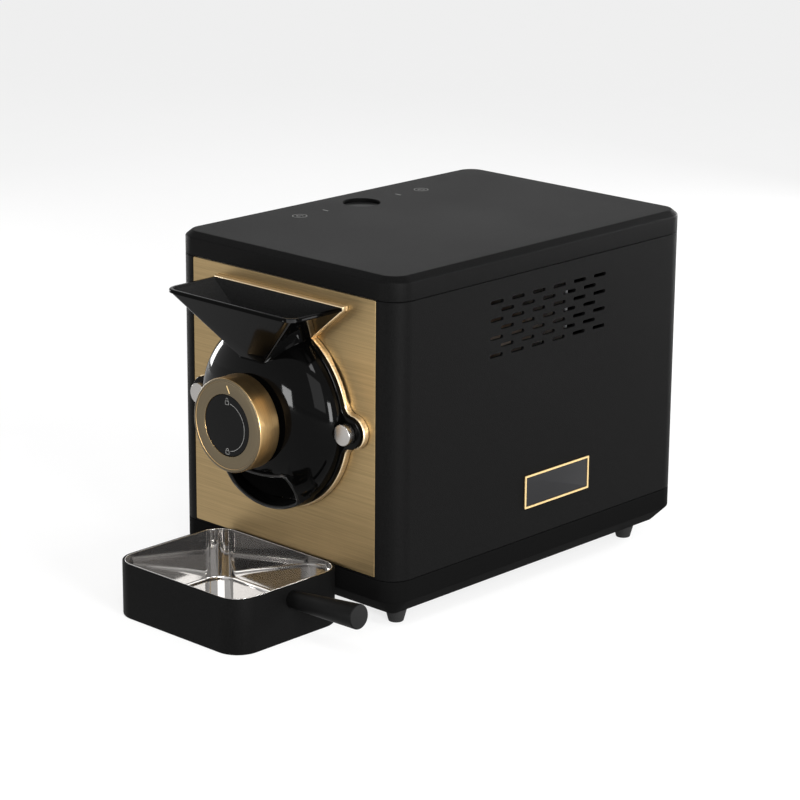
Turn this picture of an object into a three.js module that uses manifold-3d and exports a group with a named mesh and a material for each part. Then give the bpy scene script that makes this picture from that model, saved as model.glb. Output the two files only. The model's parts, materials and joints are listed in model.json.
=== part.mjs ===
// Home coffee bean roaster: a box casing with a drum inside, a domed front cover
// with a bean hopper, a turning knob and a discharge spout, and a tray in front.
// Millimetres, +Z up. X runs to the viewer's right, Y from the front to the rear.
import * as THREE from "three";
import { mergeVertices } from "three/addons/utils/BufferGeometryUtils.js";
import { ConvexGeometry } from "three/addons/geometries/ConvexGeometry.js";
import Module from "manifold-3d";

// General fits
const clearance = 0.3;
const runningClearance = 0.4;
const overrun = 1;
const weldDistance = 0.001;

// Casing
const bodyWidth = 188;
const bodyDepth = 272.5;
const bodyHeight = 200;
const cornerRadius = 14.7;
const casingWall = 2;
const lipWidth = 15.5;
const sillHeight = 1.1;

// Lid
const lidHeight = 14.5;
const lidChamferRun = 4.2;
const lidChamferDrop = 3.4;
const lidWall = 2.5;

// Base and feet
const baseRimHeight = 13;
const baseChamfer = 10.7;
const baseLedge = 13.2;
const baseFloor = 2.5;
const baseInnerRadius = 4;
const footHeight = 8.3;
const footTopRadius = 6.75;
const footTipRadius = 4.6;
const footSideInset = 17.7;
const footFrontInset = 21.3;
const footRearInset = 33.3;

// Vent slots in both sides
const slotLength = 11.6;
const slotHeight = 2.3;
const slotPitch = 19.3;
const slotRowPitch = 5.56;
const slotRows = 7;
const slotsInLongRow = 6;
const slotFieldFront = 89.2;
const slotFieldDrop = 28.9;

// Badge on the right side
const badgeWidth = 61.4;
const badgeHeight = 21.4;
const badgeFront = 117.5;
const badgeRise = 33;
const badgeBorder = 1.2;
const badgeFrameThick = 0.6;
const badgePlateThick = 0.4;

// Button in the lid, and the board under it
const buttonInset = 28.5;
const buttonFromFront = 136;
const buttonHoleRadius = 12.1;
const buttonRadius = 11.6;
const buttonSink = 2.2;
const buttonFlangeRadius = 14;
const buttonFlangeThick = 2.4;
const buttonTravel = 1.2;
const touchBoardWidth = 34;
const touchBoardLength = 140;
const boardThick = 1.6;
const switchSide = 12;
const switchHeight = 3;
const bossRadius = 3;
const bossInset = 5;

// Front panel, bulkheads and chamber
const axisHeight = 121.5;
const panelThick = 2;
const panelHoleRadius = 50.3;
const bulkheadThick = 1.5;
const bulkheadSideGap = 11.6;
const chamberRadius = 56;
const chamberWall = 1.2;
const chamberWindowWidth = 36;
const chamberWindowLength = 40;
const chamberWindowRearGap = 14;
const frontRingBore = 41.1;
const frontRingFlangeRadius = 53.5;
const frontRingFlangeThick = 2.9;

// Drum and its drive
const drumRadius = 47;
const drumWall = 1.4;
const drumLength = 152.5;
const collarRadius = 40.7;
const collarStart = 1.5;
const collarLength = 6;
const vaneHeight = 8;
const vaneThick = 1.4;
const vaneCount = 4;
const vaneEndGap = 4;
const shaftRadius = 5;
const shaftStub = 10;
const shaftFlangeRadius = 15;
const shaftFlangeThick = 3;
const rearBulkheadAt = 172;
const rearBulkheadThick = 2;
const rearBulkheadSideGap = 14;
const rearBulkheadTopGap = 4.5;
const bearingRadius = 9.2;
const bearingFlangeRadius = 13;
const bearingFlangeThick = 4;
const bearingTail = 3;
const toothModule = 1.5;
const drumGearTeeth = 46;
const pinionTeeth = 14;
const gearAt = 180;
const gearThick = 8;
const gearBacklash = 0.4;
const gearWeb = 3;
const gearRim = 5;
const gearHubRadius = 9;
const motorAngle = -50;
const motorRadius = 18;
const motorLength = 45;
const motorBossRadius = 7;
const motorBossLength = 3.8;
const motorShaftRadius = 3;
const motorShaftGrip = 12;
const bracketSide = 52;
const bracketThick = 2;
const bracketPostRadius = 3;
const bracketPostInset = 4;

// Heater and temperature probe
const heaterRadius = 2.8;
const heaterOrbit = 51;
const heaterHalfAngle = 30;
const heaterFront = 22;
const heaterBend = 9;
const heaterTail = 4;
const probeRadius = 1.5;
const probeAngle = 110;
const probeFront = 60;
const probeHeadRadius = 3.5;
const probeHeadLength = 5;

// Dome cover
const trimThick = 3.7;
const trimBorder = 0.8;
const coverRadius = 59;
const coverRimThick = 3;
const domeRadius = 57.6;
const domeHeight = 22.5;
const domePower = 2.2;
const domeWall = 3.4;
const earReach = 62.6;
const earRadius = 10;
const earFillet = 7;
const sleeveHoleRadius = 8.5;
const shelfFrontHeight = 31;
const shelfRearHeight = 20.5;
const shelfThick = 2;
const shelfGap = 0.7;

// Discharge spout at the bottom of the dome
const spoutShoulderHalf = 31.5;
const spoutShoulderDepth = 24.8;
const spoutShoulderDrop = 18.5;
const spoutRootHalf = 44;
const spoutBrowRadius = 97;
const spoutBrowDrop = 33.1;
const spoutBrowDepth = 25.6;
const spoutBrowHalf = 30.5;
const spoutLipRadius = 58;
const spoutLipHalf = 34.6;
const spoutLipDepth = 15.5;
const spoutWall = 1.6;

// Bean hopper
const hopperHalf = 55;
const hopperDepth = 46;
const hopperRimHeight = 74.8;
const hopperBand = 1.6;
const hopperThroatHalf = 11;
const hopperThroatDepth = 25.5;
const hopperThroatHeight = 36.5;
const hopperWall = 2.4;
const hopperRearLip = 0.8;
const hopperCorner = 9;
const hopperThroatCorner = 2.5;

// Knob, its shutter and the fixed cap
const knobRadius = 29;
const knobFront = 46.3;
const knobRear = 30.4;
const knobEdge = 0.8;
const knobRimWidth = 2.2;
const knobFaceSink = 0.6;
const knobFaceThick = 2.8;
const knobWall = 3.5;
const knobWeb = 3;
const capRadius = 18.9;
const capThick = 2.5;
const capProud = 0.2;
const capSocketRadius = 7;
const capSocketDepth = 4.4;
const postRadius = 4.3;
const sleeveRadius = 8;
const sleeveFlangeRadius = 12;
const sleeveFlangeThick = 3.3;
const shutterRadius = 52;
const shutterThick = 2;
const shutterRear = 7.5;
const windowInnerRadius = 15;
const windowOuterRadius = 47;
const windowHalfAngle = 38;
const bridgeHalfHeight = 4;
const bridgeThick = 2;
const bridgeRear = 4.6;
const bridgeHalfLength = 55.5;

// Thumb screws and their inserts
const screwHeadRadius = 6.5;
const screwHeadLength = 5;
const screwHeadEdge = 0.5;
const screwShankRadius = 2.5;
const screwHoleRadius = 2.9;
const screwShankEnd = 10;
const insertRadius = 5.5;
const insertLength = 8;

// Tray
const trayWidth = 110.6;
const trayDepth = 90.4;
const trayHeight = 35;
const trayCorner = 16;
const trayWall = 1.2;
const trayEdge = 1;
const trayGap = 0.8;
const linerWall = 0.8;
const handleReach = 111.2;
const handleBaseRadius = 5.4;
const handleEndRadius = 7.65;
const handleEdge = 0.7;
const handleBaseHeight = 26;
const handleTilt = 3.6;
const tenonRadius = 4;

// Rear panel and what it carries
const rearSinkSlack = 0.3;
const rearPanelThick = 2;
const rearPanelSideGap = 13.6;
const fanSide = 64;
const fanDepth = 14;
const fanFromMiddle = -34;
const fanHeight = 150;
const fanBore = 30;
const fanHubRadius = 12;
const fanHubWall = 1.6;
const fanBladeTip = 28;
const fanBladeCount = 7;
const fanBladeThick = 1.4;
const fanBladePitch = 38;
const fanMountRadius = 11;
const fanMountThick = 2.5;
const fanStrutWidth = 3;
const fanPinRadius = 1.9;
const fanPinLength = 8;
const grilleRadius = 27;
const inletFromMiddle = 42;
const inletHeight = 58;
const inletNoseWidth = 26.8;
const inletNoseHeight = 19.4;
const inletFlange = 3;
const inletFlangeThick = 1.5;
const inletLength = 24;
const inletWall = 1.6;
const inletCavityDepth = 15;
const inletProud = 1.2;
const pinWide = 4;
const pinThick = 2;
const pinLength = 9;
const pinSpread = 7;
const pinRise = 1.5;
const earthPinDrop = 3;
const switchFromMiddle = 42;
const switchAxisHeight = 92;
const switchOpenWidth = 12.8;
const switchOpenHeight = 18.8;
const bezelBorder = 1.8;
const bezelThick = 1.4;
const switchBodyLength = 14;
const rockerHalfWidth = 4.6;
const rockerHalfLength = 7.3;
const rockerProud = 4.6;
const rockerDish = 1.4;
const rockerKeel = 2.5;
const rockerPinRadius = 1.2;
const rockerPinReach = 5.3;
const rockerPivotSink = 4.2;
const rockerTilt = 7;
const rearScrewHeadRadius = 3.6;
const rearScrewHeadThick = 1.6;
const rearScrewRadius = 1.6;
const rearScrewLength = 9;
const rearScrewSideInset = 8.4;
const rearScrewLowInset = 14;
const rearScrewHighInset = 12.5;
const tabWidth = 27;
const tabHeight = 12;
const tabDepth = 11;

// Control board on the base floor
const controlBoardWidth = 84;
const controlBoardLength = 66;
const controlBoardFront = 188;
const controlBoardFromMiddle = -26;
const controlBossHeight = 4;
const sinkWidth = 30;
const sinkLength = 18;
const sinkHeight = 16;
const capacitorRadius = 6;
const capacitorHeight = 18;

// How finely round things are cut
const fineSides = 48;
const roundSides = 40;
const smallSides = 20;
const tinySides = 10;
const slotSteps = 1;
const cornerSteps = 4;
const outlineSteps = 6;
const arcSteps = 8;
const domeSteps = 8;

// Places that several pieces share
const baseZ = footHeight + baseChamfer;
const casingZ = baseZ + baseRimHeight;
const topZ = baseZ + bodyHeight;
const lidZ = topZ - lidHeight;
const halfWidth = bodyWidth / 2;
const halfDepth = bodyDepth / 2;
const windowHalf = halfWidth - lipWidth;
const windowZ = casingZ + sillHeight;
const panelBack = panelThick;
const bulkheadFront = panelBack + clearance;
const bulkheadBack = bulkheadFront + bulkheadThick;
const trimBack = -clearance;
const trimFront = trimBack - trimThick;
const coverBack = trimFront;
const coverFront = coverBack - coverRimThick;
const rearPanelBack = bodyDepth - casingWall - rearSinkSlack;
const rearPanelFront = rearPanelBack - rearPanelThick;
const rearBulkheadBack = rearBulkheadAt + rearBulkheadThick;
const rearPanelHalf = halfWidth - rearPanelSideGap;
const rearScrewFromMiddle = rearPanelHalf - rearScrewSideInset;
const rearScrewLowHeight = casingZ + rearScrewLowInset;
const rearScrewHighHeight = lidZ - rearScrewHighInset;
const handleTiltAngle = THREE.MathUtils.degToRad(handleTilt);

const wasm = await Module();
wasm.setup();

// A closed geometry as a solid that can be joined and cut, its faces turned outward.
function solid(geometry) {
  const plain = new THREE.BufferGeometry();
  plain.setAttribute("position", geometry.getAttribute("position"));
  if (geometry.index) plain.setIndex(geometry.index);
  const merged = mergeVertices(plain, weldDistance);
  const triVerts = new Uint32Array(merged.index.array);
  const vertProperties = merged.attributes.position.array;
  const made = new wasm.Manifold(new wasm.Mesh({ numProp: 3, vertProperties, triVerts }));
  if (made.volume() > 0) return made;
  const turned = triVerts.slice().reverse();
  return new wasm.Manifold(new wasm.Mesh({ numProp: 3, vertProperties, triVerts: turned }));
}

function cut(body, ...tools) {
  return tools.reduce((rest, tool) => rest.subtract(tool), body);
}

function join(...bodies) {
  return bodies.reduce((whole, body) => whole.add(body));
}

// A block between two corners.
function block(low, high) {
  const size = high.map((value, i) => value - low[i]);
  const middle = high.map((value, i) => (value + low[i]) / 2);
  return solid(new THREE.BoxGeometry(...size).translate(...middle));
}

// A round bar along one axis, between two places on that axis.
function bar(axis, radius, from, to, at, sides = smallSides, endRadius = radius) {
  const shape = new THREE.CylinderGeometry(endRadius, radius, to - from, sides);
  if (axis === "z") shape.rotateX(Math.PI / 2);
  if (axis === "x") shape.rotateZ(-Math.PI / 2);
  const middle = (from + to) / 2;
  if (axis === "x") shape.translate(middle, at[0], at[1]);
  if (axis === "y") shape.translate(at[0], middle, at[1]);
  if (axis === "z") shape.translate(at[0], at[1], middle);
  return solid(shape);
}

// A body turned about the Y axis from an outline of [radius, y] points.
function turned(outline, sides = roundSides) {
  const points = outline.map(([radius, y]) => new THREE.Vector2(radius, y));
  const onAxis = points[0].x === 0 && points.at(-1).x === 0;
  if (!onAxis) points.push(points[0].clone());
  return solid(new THREE.LatheGeometry(points, sides));
}

// A shape drawn in X and Y, raised along Z.
function raised(shape, from, to) {
  const settings = { depth: to - from, bevelEnabled: false, curveSegments: cornerSteps };
  return solid(new THREE.ExtrudeGeometry(shape, settings).translate(0, 0, from));
}

// A shape drawn in X and Z, run along Y.
function runBack(shape, from, to, steps = cornerSteps) {
  const settings = { depth: to - from, bevelEnabled: false, curveSegments: steps };
  const geometry = new THREE.ExtrudeGeometry(shape, settings);
  return solid(geometry.rotateX(Math.PI / 2).translate(0, to, 0));
}

// A shape drawn in Y and Z, run along X.
function runAcross(shape, from, to, steps = cornerSteps) {
  const settings = { depth: to - from, bevelEnabled: false, curveSegments: steps };
  const geometry = new THREE.ExtrudeGeometry(shape, settings);
  const x = new THREE.Vector3(1, 0, 0);
  const y = new THREE.Vector3(0, 1, 0);
  const z = new THREE.Vector3(0, 0, 1);
  geometry.applyMatrix4(new THREE.Matrix4().makeBasis(y, z, x));
  return solid(geometry.translate(from, 0, 0));
}

function polygon(points) {
  return new THREE.Shape(points.map(([u, v]) => new THREE.Vector2(u, v)));
}

function rectangle(u0, u1, v0, v1) {
  return polygon([[u0, v0], [u1, v0], [u1, v1], [u0, v1]]);
}

// A rectangle with round corners, about a centre.
function roundRectangle(halfU, halfV, radius, centre = [0, 0]) {
  const [u, v] = centre;
  const shape = new THREE.Shape();
  const corners = [[1, 1], [-1, 1], [-1, -1], [1, -1]];
  corners.forEach(([signU, signV], quarter) => {
    const cornerU = u + signU * (halfU - radius);
    const cornerV = v + signV * (halfV - radius);
    const start = (quarter * Math.PI) / 2;
    shape.absarc(cornerU, cornerV, radius, start, start + Math.PI / 2, false);
  });
  return shape;
}

// A round-cornered form with a level at each height, standing on the middle of the plan.
function tower(levels, centre = [0, 0]) {
  const rings = levels.map(({ halfX, halfY, radius, z }) => {
    const outline = roundRectangle(halfX, halfY, radius, centre).getPoints(cornerSteps);
    const last = outline.at(-1);
    if (last.distanceTo(outline[0]) < weldDistance) outline.pop();
    return outline.map((point) => [point.x, point.y, z]);
  });
  const count = rings[0].length;
  const index = [];
  rings.slice(1).forEach((_, level) => {
    for (let i = 0; i < count; i++) {
      const a = level * count + i;
      const b = level * count + ((i + 1) % count);
      index.push(a, b, b + count, a, b + count, a + count);
    }
  });
  const top = (rings.length - 1) * count;
  for (let i = 1; i < count - 1; i++) {
    index.push(0, i + 1, i, top, top + i, top + i + 1);
  }
  const geometry = new THREE.BufferGeometry();
  geometry.setAttribute("position", new THREE.Float32BufferAttribute(rings.flat(2), 3));
  geometry.setIndex(index);
  return solid(geometry);
}

// The smallest convex body round a list of points.
function hull(points) {
  return solid(new ConvexGeometry(points.map((point) => new THREE.Vector3(...point))));
}

// A round-ended slot that lies along Y or X and is cut through a wall.
function slotOutline(length, height, centre) {
  return roundRectangle(length / 2, height / 2, height / 2, centre);
}

function mirrored(body) {
  return body.mirror([1, 0, 0]);
}

// Finishes
const finishes = {
  sandBlack: { color: 0x232323, roughness: 0.62, metalness: 0 },
  glossBlack: { color: 0x0b0b0c, roughness: 0.08, metalness: 0 },
  softBlack: { color: 0x1b1b1b, roughness: 0.5, metalness: 0 },
  brushedGold: { color: 0xa88b5c, roughness: 0.36, metalness: 1 },
  satinGold: { color: 0xb08a52, roughness: 0.28, metalness: 1 },
  satinSteel: { color: 0xc4bdb8, roughness: 0.25, metalness: 1 },
  mirrorSteel: { color: 0xd8d8d8, roughness: 0.06, metalness: 1 },
  plainSteel: { color: 0x9a9c9e, roughness: 0.42, metalness: 1 },
  heatSteel: { color: 0x6f665c, roughness: 0.5, metalness: 1 },
  brass: { color: 0xb9975a, roughness: 0.35, metalness: 1 },
  rubber: { color: 0x161616, roughness: 0.9, metalness: 0 },
  boardGreen: { color: 0x1d4a33, roughness: 0.6, metalness: 0 },
  paleRing: { color: 0xd9d4c8, roughness: 0.6, metalness: 0 },
  nylon: { color: 0xe6e2d6, roughness: 0.5, metalness: 0 },
  greyPlate: { color: 0x3a3a3b, roughness: 0.5, metalness: 0 },
};

// A named mesh from a solid, in its own material.
function piece(name, body, finish) {
  const mesh = body.getMesh();
  const geometry = new THREE.BufferGeometry();
  const positions = new Float32Array(mesh.numVert * 3);
  for (let i = 0; i < mesh.numVert; i++) {
    positions.set(mesh.vertProperties.subarray(i * mesh.numProp, i * mesh.numProp + 3), i * 3);
  }
  geometry.setAttribute("position", new THREE.BufferAttribute(positions, 3));
  geometry.setIndex(new THREE.BufferAttribute(mesh.triVerts, 1));
  geometry.computeVertexNormals();
  const made = new THREE.Mesh(geometry, new THREE.MeshStandardMaterial(finishes[finish]));
  made.name = name;
  return made;
}

function group(x, y, z, ...children) {
  const made = new THREE.Group();
  made.position.set(x, y, z);
  made.add(...children);
  return made;
}

// Base: an upright rim over a wide chamfer, hollow from above, with bosses for the board.
function basePan() {
  const tipInset = baseChamfer;
  const chamferRadius = Math.max(cornerRadius - baseChamfer, baseInnerRadius);
  const outside = tower([
    { halfX: halfWidth - tipInset, halfY: halfDepth - tipInset, radius: chamferRadius, z: footHeight },
    { halfX: halfWidth, halfY: halfDepth, radius: cornerRadius, z: baseZ },
    { halfX: halfWidth, halfY: halfDepth, radius: cornerRadius, z: casingZ },
  ], [0, halfDepth]);
  const inside = raised(
    roundRectangle(halfWidth - baseLedge, halfDepth - baseLedge, baseInnerRadius, [0, halfDepth]),
    footHeight + baseFloor,
    casingZ + overrun,
  );
  const floorZ = footHeight + baseFloor;
  const reachX = controlBoardWidth / 2 - bossInset;
  const reachY = controlBoardLength / 2 - bossInset;
  const boardY = controlBoardFront + controlBoardLength / 2;
  const bosses = [[1, 1], [-1, 1], [-1, -1], [1, -1]].map(([signX, signY]) => {
    const at = [controlBoardFromMiddle + signX * reachX, boardY + signY * reachY];
    return bar("z", bossRadius, floorZ - overrun, floorZ + controlBossHeight, at, tinySides);
  });
  return join(cut(outside, inside), ...bosses);
}

// Slots in staggered rows, as a cutter that runs through one side wall.
function sideSlots(from, to) {
  const rows = Array.from({ length: slotRows }, (_, row) => {
    const short = row % 2;
    const z = topZ - slotFieldDrop - row * slotRowPitch;
    const first = slotFieldFront + (short * slotPitch) / 2;
    return Array.from({ length: slotsInLongRow - short }, (_, i) => {
      const outline = slotOutline(slotLength, slotHeight, [first + i * slotPitch, z]);
      return runAcross(outline, from, to, slotSteps);
    });
  });
  return join(...rows.flat());
}

// A boss block inside each rear corner that a rear screw goes into.
function screwTab(side, z) {
  const outer = side * (halfWidth - casingWall / 2);
  const inner = outer - side * tabWidth;
  const back = rearPanelFront - clearance;
  const low = [Math.min(outer, inner), back - tabDepth, z - tabHeight / 2];
  const high = [Math.max(outer, inner), back, z + tabHeight / 2];
  const hole = bar("y", rearScrewRadius + clearance, back - tabDepth + overrun, back + overrun,
    [side * rearScrewFromMiddle, z], tinySides);
  return cut(block(low, high), hole);
}

// Casing: a wrap with round corners, open between its lips at the front and the rear.
function casingShell() {
  const bottom = casingZ + clearance;
  const top = lidZ - clearance;
  const centre = [0, halfDepth];
  const outside = raised(roundRectangle(halfWidth, halfDepth, cornerRadius, centre), bottom, top);
  const inside = raised(
    roundRectangle(halfWidth - casingWall, halfDepth - casingWall, cornerRadius - casingWall, centre),
    bottom - overrun,
    top + overrun,
  );
  const opening = block(
    [-windowHalf, -overrun, windowZ],
    [windowHalf, bodyDepth + overrun, top + overrun],
  );
  const slots = sideSlots(halfWidth - casingWall - overrun, halfWidth + overrun);
  const tabs = [rearScrewLowHeight, rearScrewHighHeight].flatMap((z) => [screwTab(1, z), screwTab(-1, z)]);
  const middle = casingWall / 2;
  const wallMiddle = raised(
    roundRectangle(halfWidth - middle, halfDepth - middle, cornerRadius - middle, centre),
    bottom,
    top,
  );
  const inset = tabs.map((tab) => tab.intersect(wallMiddle));
  return join(cut(outside, inside, opening, slots, mirrored(slots)), ...inset);
}

// Lid: chamfered round its top edge, hollow from below, with a hole for the button.
function topCover() {
  const centre = [0, halfDepth];
  const outside = tower([
    { halfX: halfWidth, halfY: halfDepth, radius: cornerRadius, z: lidZ },
    { halfX: halfWidth, halfY: halfDepth, radius: cornerRadius, z: topZ - lidChamferDrop },
    { halfX: halfWidth - lidChamferRun, halfY: halfDepth - lidChamferRun,
      radius: cornerRadius - lidChamferRun, z: topZ },
  ], centre);
  const underside = topZ - lidWall;
  const inside = raised(
    roundRectangle(halfWidth - lidWall, halfDepth - lidWall, cornerRadius - lidWall, centre),
    lidZ - overrun,
    underside,
  );
  const buttonAt = [buttonInset - halfWidth, buttonFromFront];
  const hole = bar("z", buttonHoleRadius, underside - overrun, topZ + overrun, buttonAt, roundSides);
  const boardTop = touchBoardTop();
  const reachX = touchBoardWidth / 2 - bossInset;
  const reachY = touchBoardLength / 2 - bossInset;
  const bosses = [[1, 1], [-1, 1], [-1, -1], [1, -1]].map(([signX, signY]) => {
    const at = [buttonAt[0] + signX * reachX, buttonAt[1] + signY * reachY];
    return bar("z", bossRadius, boardTop + clearance, underside + overrun, at, tinySides);
  });
  return join(cut(outside, inside, hole), ...bosses);
}

// The button's flange hangs under the lid, and the board's switch stands under the button.
function buttonFlangeTop() {
  return topZ - lidWall - clearance;
}

function touchBoardTop() {
  return buttonFlangeTop() - buttonFlangeThick - buttonTravel - clearance - switchHeight;
}

function startButton() {
  const flangeTop = buttonFlangeTop();
  const flange = bar("z", buttonFlangeRadius, flangeTop - buttonFlangeThick, flangeTop, [0, 0], roundSides);
  const face = bar("z", buttonRadius, flangeTop - overrun, topZ - buttonSink, [0, 0], roundSides);
  return join(flange, face);
}

function touchBoard() {
  const top = touchBoardTop();
  const board = block(
    [-touchBoardWidth / 2, -touchBoardLength / 2, top - boardThick],
    [touchBoardWidth / 2, touchBoardLength / 2, top],
  );
  const key = block(
    [-switchSide / 2, -switchSide / 2, top - boardThick / 2],
    [switchSide / 2, switchSide / 2, top + switchHeight],
  );
  return join(board, key);
}

function frontPanel() {
  const edge = windowHalf - clearance;
  const low = windowZ + clearance;
  const high = lidZ - clearance;
  const plate = runBack(rectangle(-edge, edge, low - axisHeight, high - axisHeight), 0, panelThick);
  return cut(plate, drumOpening(), screwHoles(-overrun, panelThick + overrun));
}

// The hole that the drum's front ring sits in.
function drumOpening() {
  return bar("y", panelHoleRadius, -overrun, bulkheadBack + overrun, [0, 0], roundSides);
}

function screwHoles(from, to) {
  const hole = bar("y", screwHoleRadius, from, to, [earReach, 0], tinySides);
  return join(hole, mirrored(hole));
}

function frontBulkhead() {
  const half = halfWidth - casingWall - bulkheadSideGap;
  const low = casingZ + clearance - axisHeight;
  const high = lidZ - clearance - axisHeight;
  const plate = runBack(rectangle(-half, half, low, high), bulkheadFront, bulkheadBack);
  return cut(plate, drumOpening(), screwHoles(0, bulkheadBack + overrun));
}

function threadedInsert() {
  const front = bulkheadBack + clearance;
  return turned([
    [screwHoleRadius, front],
    [insertRadius, front],
    [insertRadius, front + insertLength],
    [screwHoleRadius, front + insertLength],
  ], smallSides);
}

function frontRing() {
  const seat = panelHoleRadius - clearance;
  const flangeFront = bulkheadBack + clearance;
  return turned([
    [frontRingBore, 0],
    [seat, 0],
    [seat, flangeFront],
    [frontRingFlangeRadius, flangeFront],
    [frontRingFlangeRadius, flangeFront + frontRingFlangeThick],
    [frontRingBore, flangeFront + frontRingFlangeThick],
  ]);
}

function polar(radius, degrees) {
  const angle = THREE.MathUtils.degToRad(degrees);
  return [radius * Math.cos(angle), radius * Math.sin(angle)];
}

function heaterHole(side) {
  const at = polar(heaterOrbit, side * heaterHalfAngle - 90);
  return bar("y", heaterRadius + clearance, rearBulkheadAt - overrun, rearBulkheadBack + overrun, at, tinySides);
}

function rearBulkhead() {
  const low = footHeight + baseFloor + clearance - axisHeight;
  const half = halfWidth - casingWall - rearBulkheadSideGap;
  const outline = rectangle(-half, half, low, lidZ - rearBulkheadTopGap - axisHeight);
  const plate = runBack(outline, rearBulkheadAt, rearBulkheadBack);
  const from = rearBulkheadAt - overrun;
  const to = rearBulkheadBack + overrun;
  const bearingHole = bar("y", bearingRadius + clearance, from, to, [0, 0], smallSides);
  const probeHole = bar("y", probeRadius + clearance, from, to, polar(heaterOrbit, probeAngle), tinySides);
  return cut(plate, bearingHole, probeHole, heaterHole(1), heaterHole(-1));
}

function chamberShell() {
  const front = bulkheadBack + clearance;
  const back = rearBulkheadAt - clearance;
  const inner = chamberRadius - chamberWall;
  const tube = turned([[inner, front], [chamberRadius, front], [chamberRadius, back], [inner, back]]);
  const windowBack = back - chamberWindowRearGap;
  const window = block(
    [-chamberWindowWidth / 2, windowBack - chamberWindowLength, 0],
    [chamberWindowWidth / 2, windowBack, chamberRadius + overrun],
  );
  return cut(tube, window);
}

function drum() {
  const front = collarStart + collarLength;
  const back = front + drumLength;
  const innerCollar = collarRadius - drumWall;
  const inner = drumRadius - drumWall;
  const hubHole = shaftRadius + clearance;
  const shell = turned([
    [collarRadius, collarStart],
    [collarRadius, front],
    [drumRadius, front],
    [drumRadius, back],
    [hubHole, back],
    [hubHole, back - drumWall],
    [inner, back - drumWall],
    [inner, front + drumWall],
    [innerCollar, front + drumWall],
    [innerCollar, collarStart],
  ]);
  const vane = block(
    [inner - vaneHeight, front + vaneEndGap, -vaneThick / 2],
    [inner + drumWall / 2, back - vaneEndGap, vaneThick / 2],
  );
  const vanes = Array.from({ length: vaneCount }, (_, i) => vane.rotate([0, (i * 360) / vaneCount, 0]));
  return join(shell, ...vanes);
}

function drumShaft() {
  const drumBack = collarStart + collarLength + drumLength;
  const flangeFront = drumBack + clearance;
  const flangeBack = flangeFront + shaftFlangeThick;
  return turned([
    [0, drumBack - shaftStub],
    [shaftRadius, drumBack - shaftStub],
    [shaftRadius, flangeFront],
    [shaftFlangeRadius, flangeFront],
    [shaftFlangeRadius, flangeBack],
    [shaftRadius, flangeBack],
    [shaftRadius, gearAt + gearThick + gearWeb],
    [0, gearAt + gearThick + gearWeb],
  ], smallSides);
}

function rearBearing() {
  const bore = shaftRadius + runningClearance;
  const flangeBack = rearBulkheadAt - clearance;
  const back = rearBulkheadBack + bearingTail;
  return turned([
    [bore, flangeBack - bearingFlangeThick],
    [bearingFlangeRadius, flangeBack - bearingFlangeThick],
    [bearingFlangeRadius, flangeBack],
    [bearingRadius, flangeBack],
    [bearingRadius, back],
    [bore, back],
  ], smallSides);
}

// A spur gear outline: each tooth is a share of the pitch wide at its root, middle and tip.
function gearOutline(teeth) {
  const pitchRadius = (teeth * toothModule) / 2;
  const toothAngle = (2 * Math.PI) / teeth;
  const flankShares = [
    [pitchRadius - toothModule * 1.2, 0.31],
    [pitchRadius, 0.22],
    [pitchRadius + toothModule, 0.1],
  ];
  const points = [];
  for (let i = 0; i < teeth; i++) {
    const middle = i * toothAngle;
    flankShares.forEach(([radius, share]) => {
      points.push(polarPoint(radius, middle - share * toothAngle));
    });
    flankShares.toReversed().forEach(([radius, share]) => {
      points.push(polarPoint(radius, middle + share * toothAngle));
    });
  }
  return polygon(points);
}

function polarPoint(radius, angle) {
  return [radius * Math.cos(angle), radius * Math.sin(angle)];
}

function drumGear() {
  const bore = shaftRadius + clearance;
  const rootRadius = (drumGearTeeth / 2 - 1.2) * toothModule;
  const blank = runBack(gearOutline(drumGearTeeth), gearAt, gearAt + gearThick);
  const shaftHole = bar("y", bore, gearAt - overrun, gearAt + gearThick + overrun, [0, 0], smallSides);
  const dish = turned([
    [gearHubRadius, gearAt + gearWeb],
    [rootRadius - gearRim, gearAt + gearWeb],
    [rootRadius - gearRim, gearAt + gearThick + overrun],
    [gearHubRadius, gearAt + gearThick + overrun],
  ]);
  return cut(blank, shaftHole, dish);
}

// The motor stands beside the drum's axis, at the two gears' centre distance.
function gearDistance() {
  return ((drumGearTeeth + pinionTeeth) * toothModule) / 2 + gearBacklash;
}

function motorPlace() {
  return polar(gearDistance(), motorAngle);
}

function bracketFront() {
  return gearAt + gearThick + gearWeb + runningClearance + overrun;
}

function motorBodyFront() {
  return bracketFront() + bracketThick + clearance;
}

function motorPinion() {
  const teeth = runBack(gearOutline(pinionTeeth), gearAt, gearAt + gearThick);
  const back = motorBodyFront() - motorBossLength + motorShaftGrip;
  return join(teeth, bar("y", motorShaftRadius, gearAt + overrun, back, [0, 0], smallSides));
}

function gearMotor() {
  const bodyFront = motorBodyFront();
  const bossFront = bodyFront - motorBossLength;
  const bore = motorShaftRadius + runningClearance;
  const boreEnd = bossFront + motorShaftGrip + overrun;
  return turned([
    [bore, bossFront],
    [motorBossRadius, bossFront],
    [motorBossRadius, bodyFront],
    [motorRadius, bodyFront],
    [motorRadius, bodyFront + motorLength],
    [0, bodyFront + motorLength],
    [0, boreEnd],
    [bore, boreEnd],
  ], roundSides);
}

function motorBracket() {
  const half = bracketSide / 2;
  const front = bracketFront();
  const plate = runBack(rectangle(-half, half, -half, half), front, front + bracketThick);
  const hole = bar("y", motorBossRadius + clearance, front - overrun, front + bracketThick + overrun,
    [0, 0], smallSides);
  const reach = half - bracketPostInset;
  const posts = [[1, 1], [1, -1], [-1, -1]].map(([signX, signZ]) =>
    bar("y", bracketPostRadius, rearBulkheadBack + clearance, front + bracketThick / 2,
      [signX * reach, signZ * reach], tinySides));
  return join(cut(plate, hole), ...posts);
}

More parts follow.
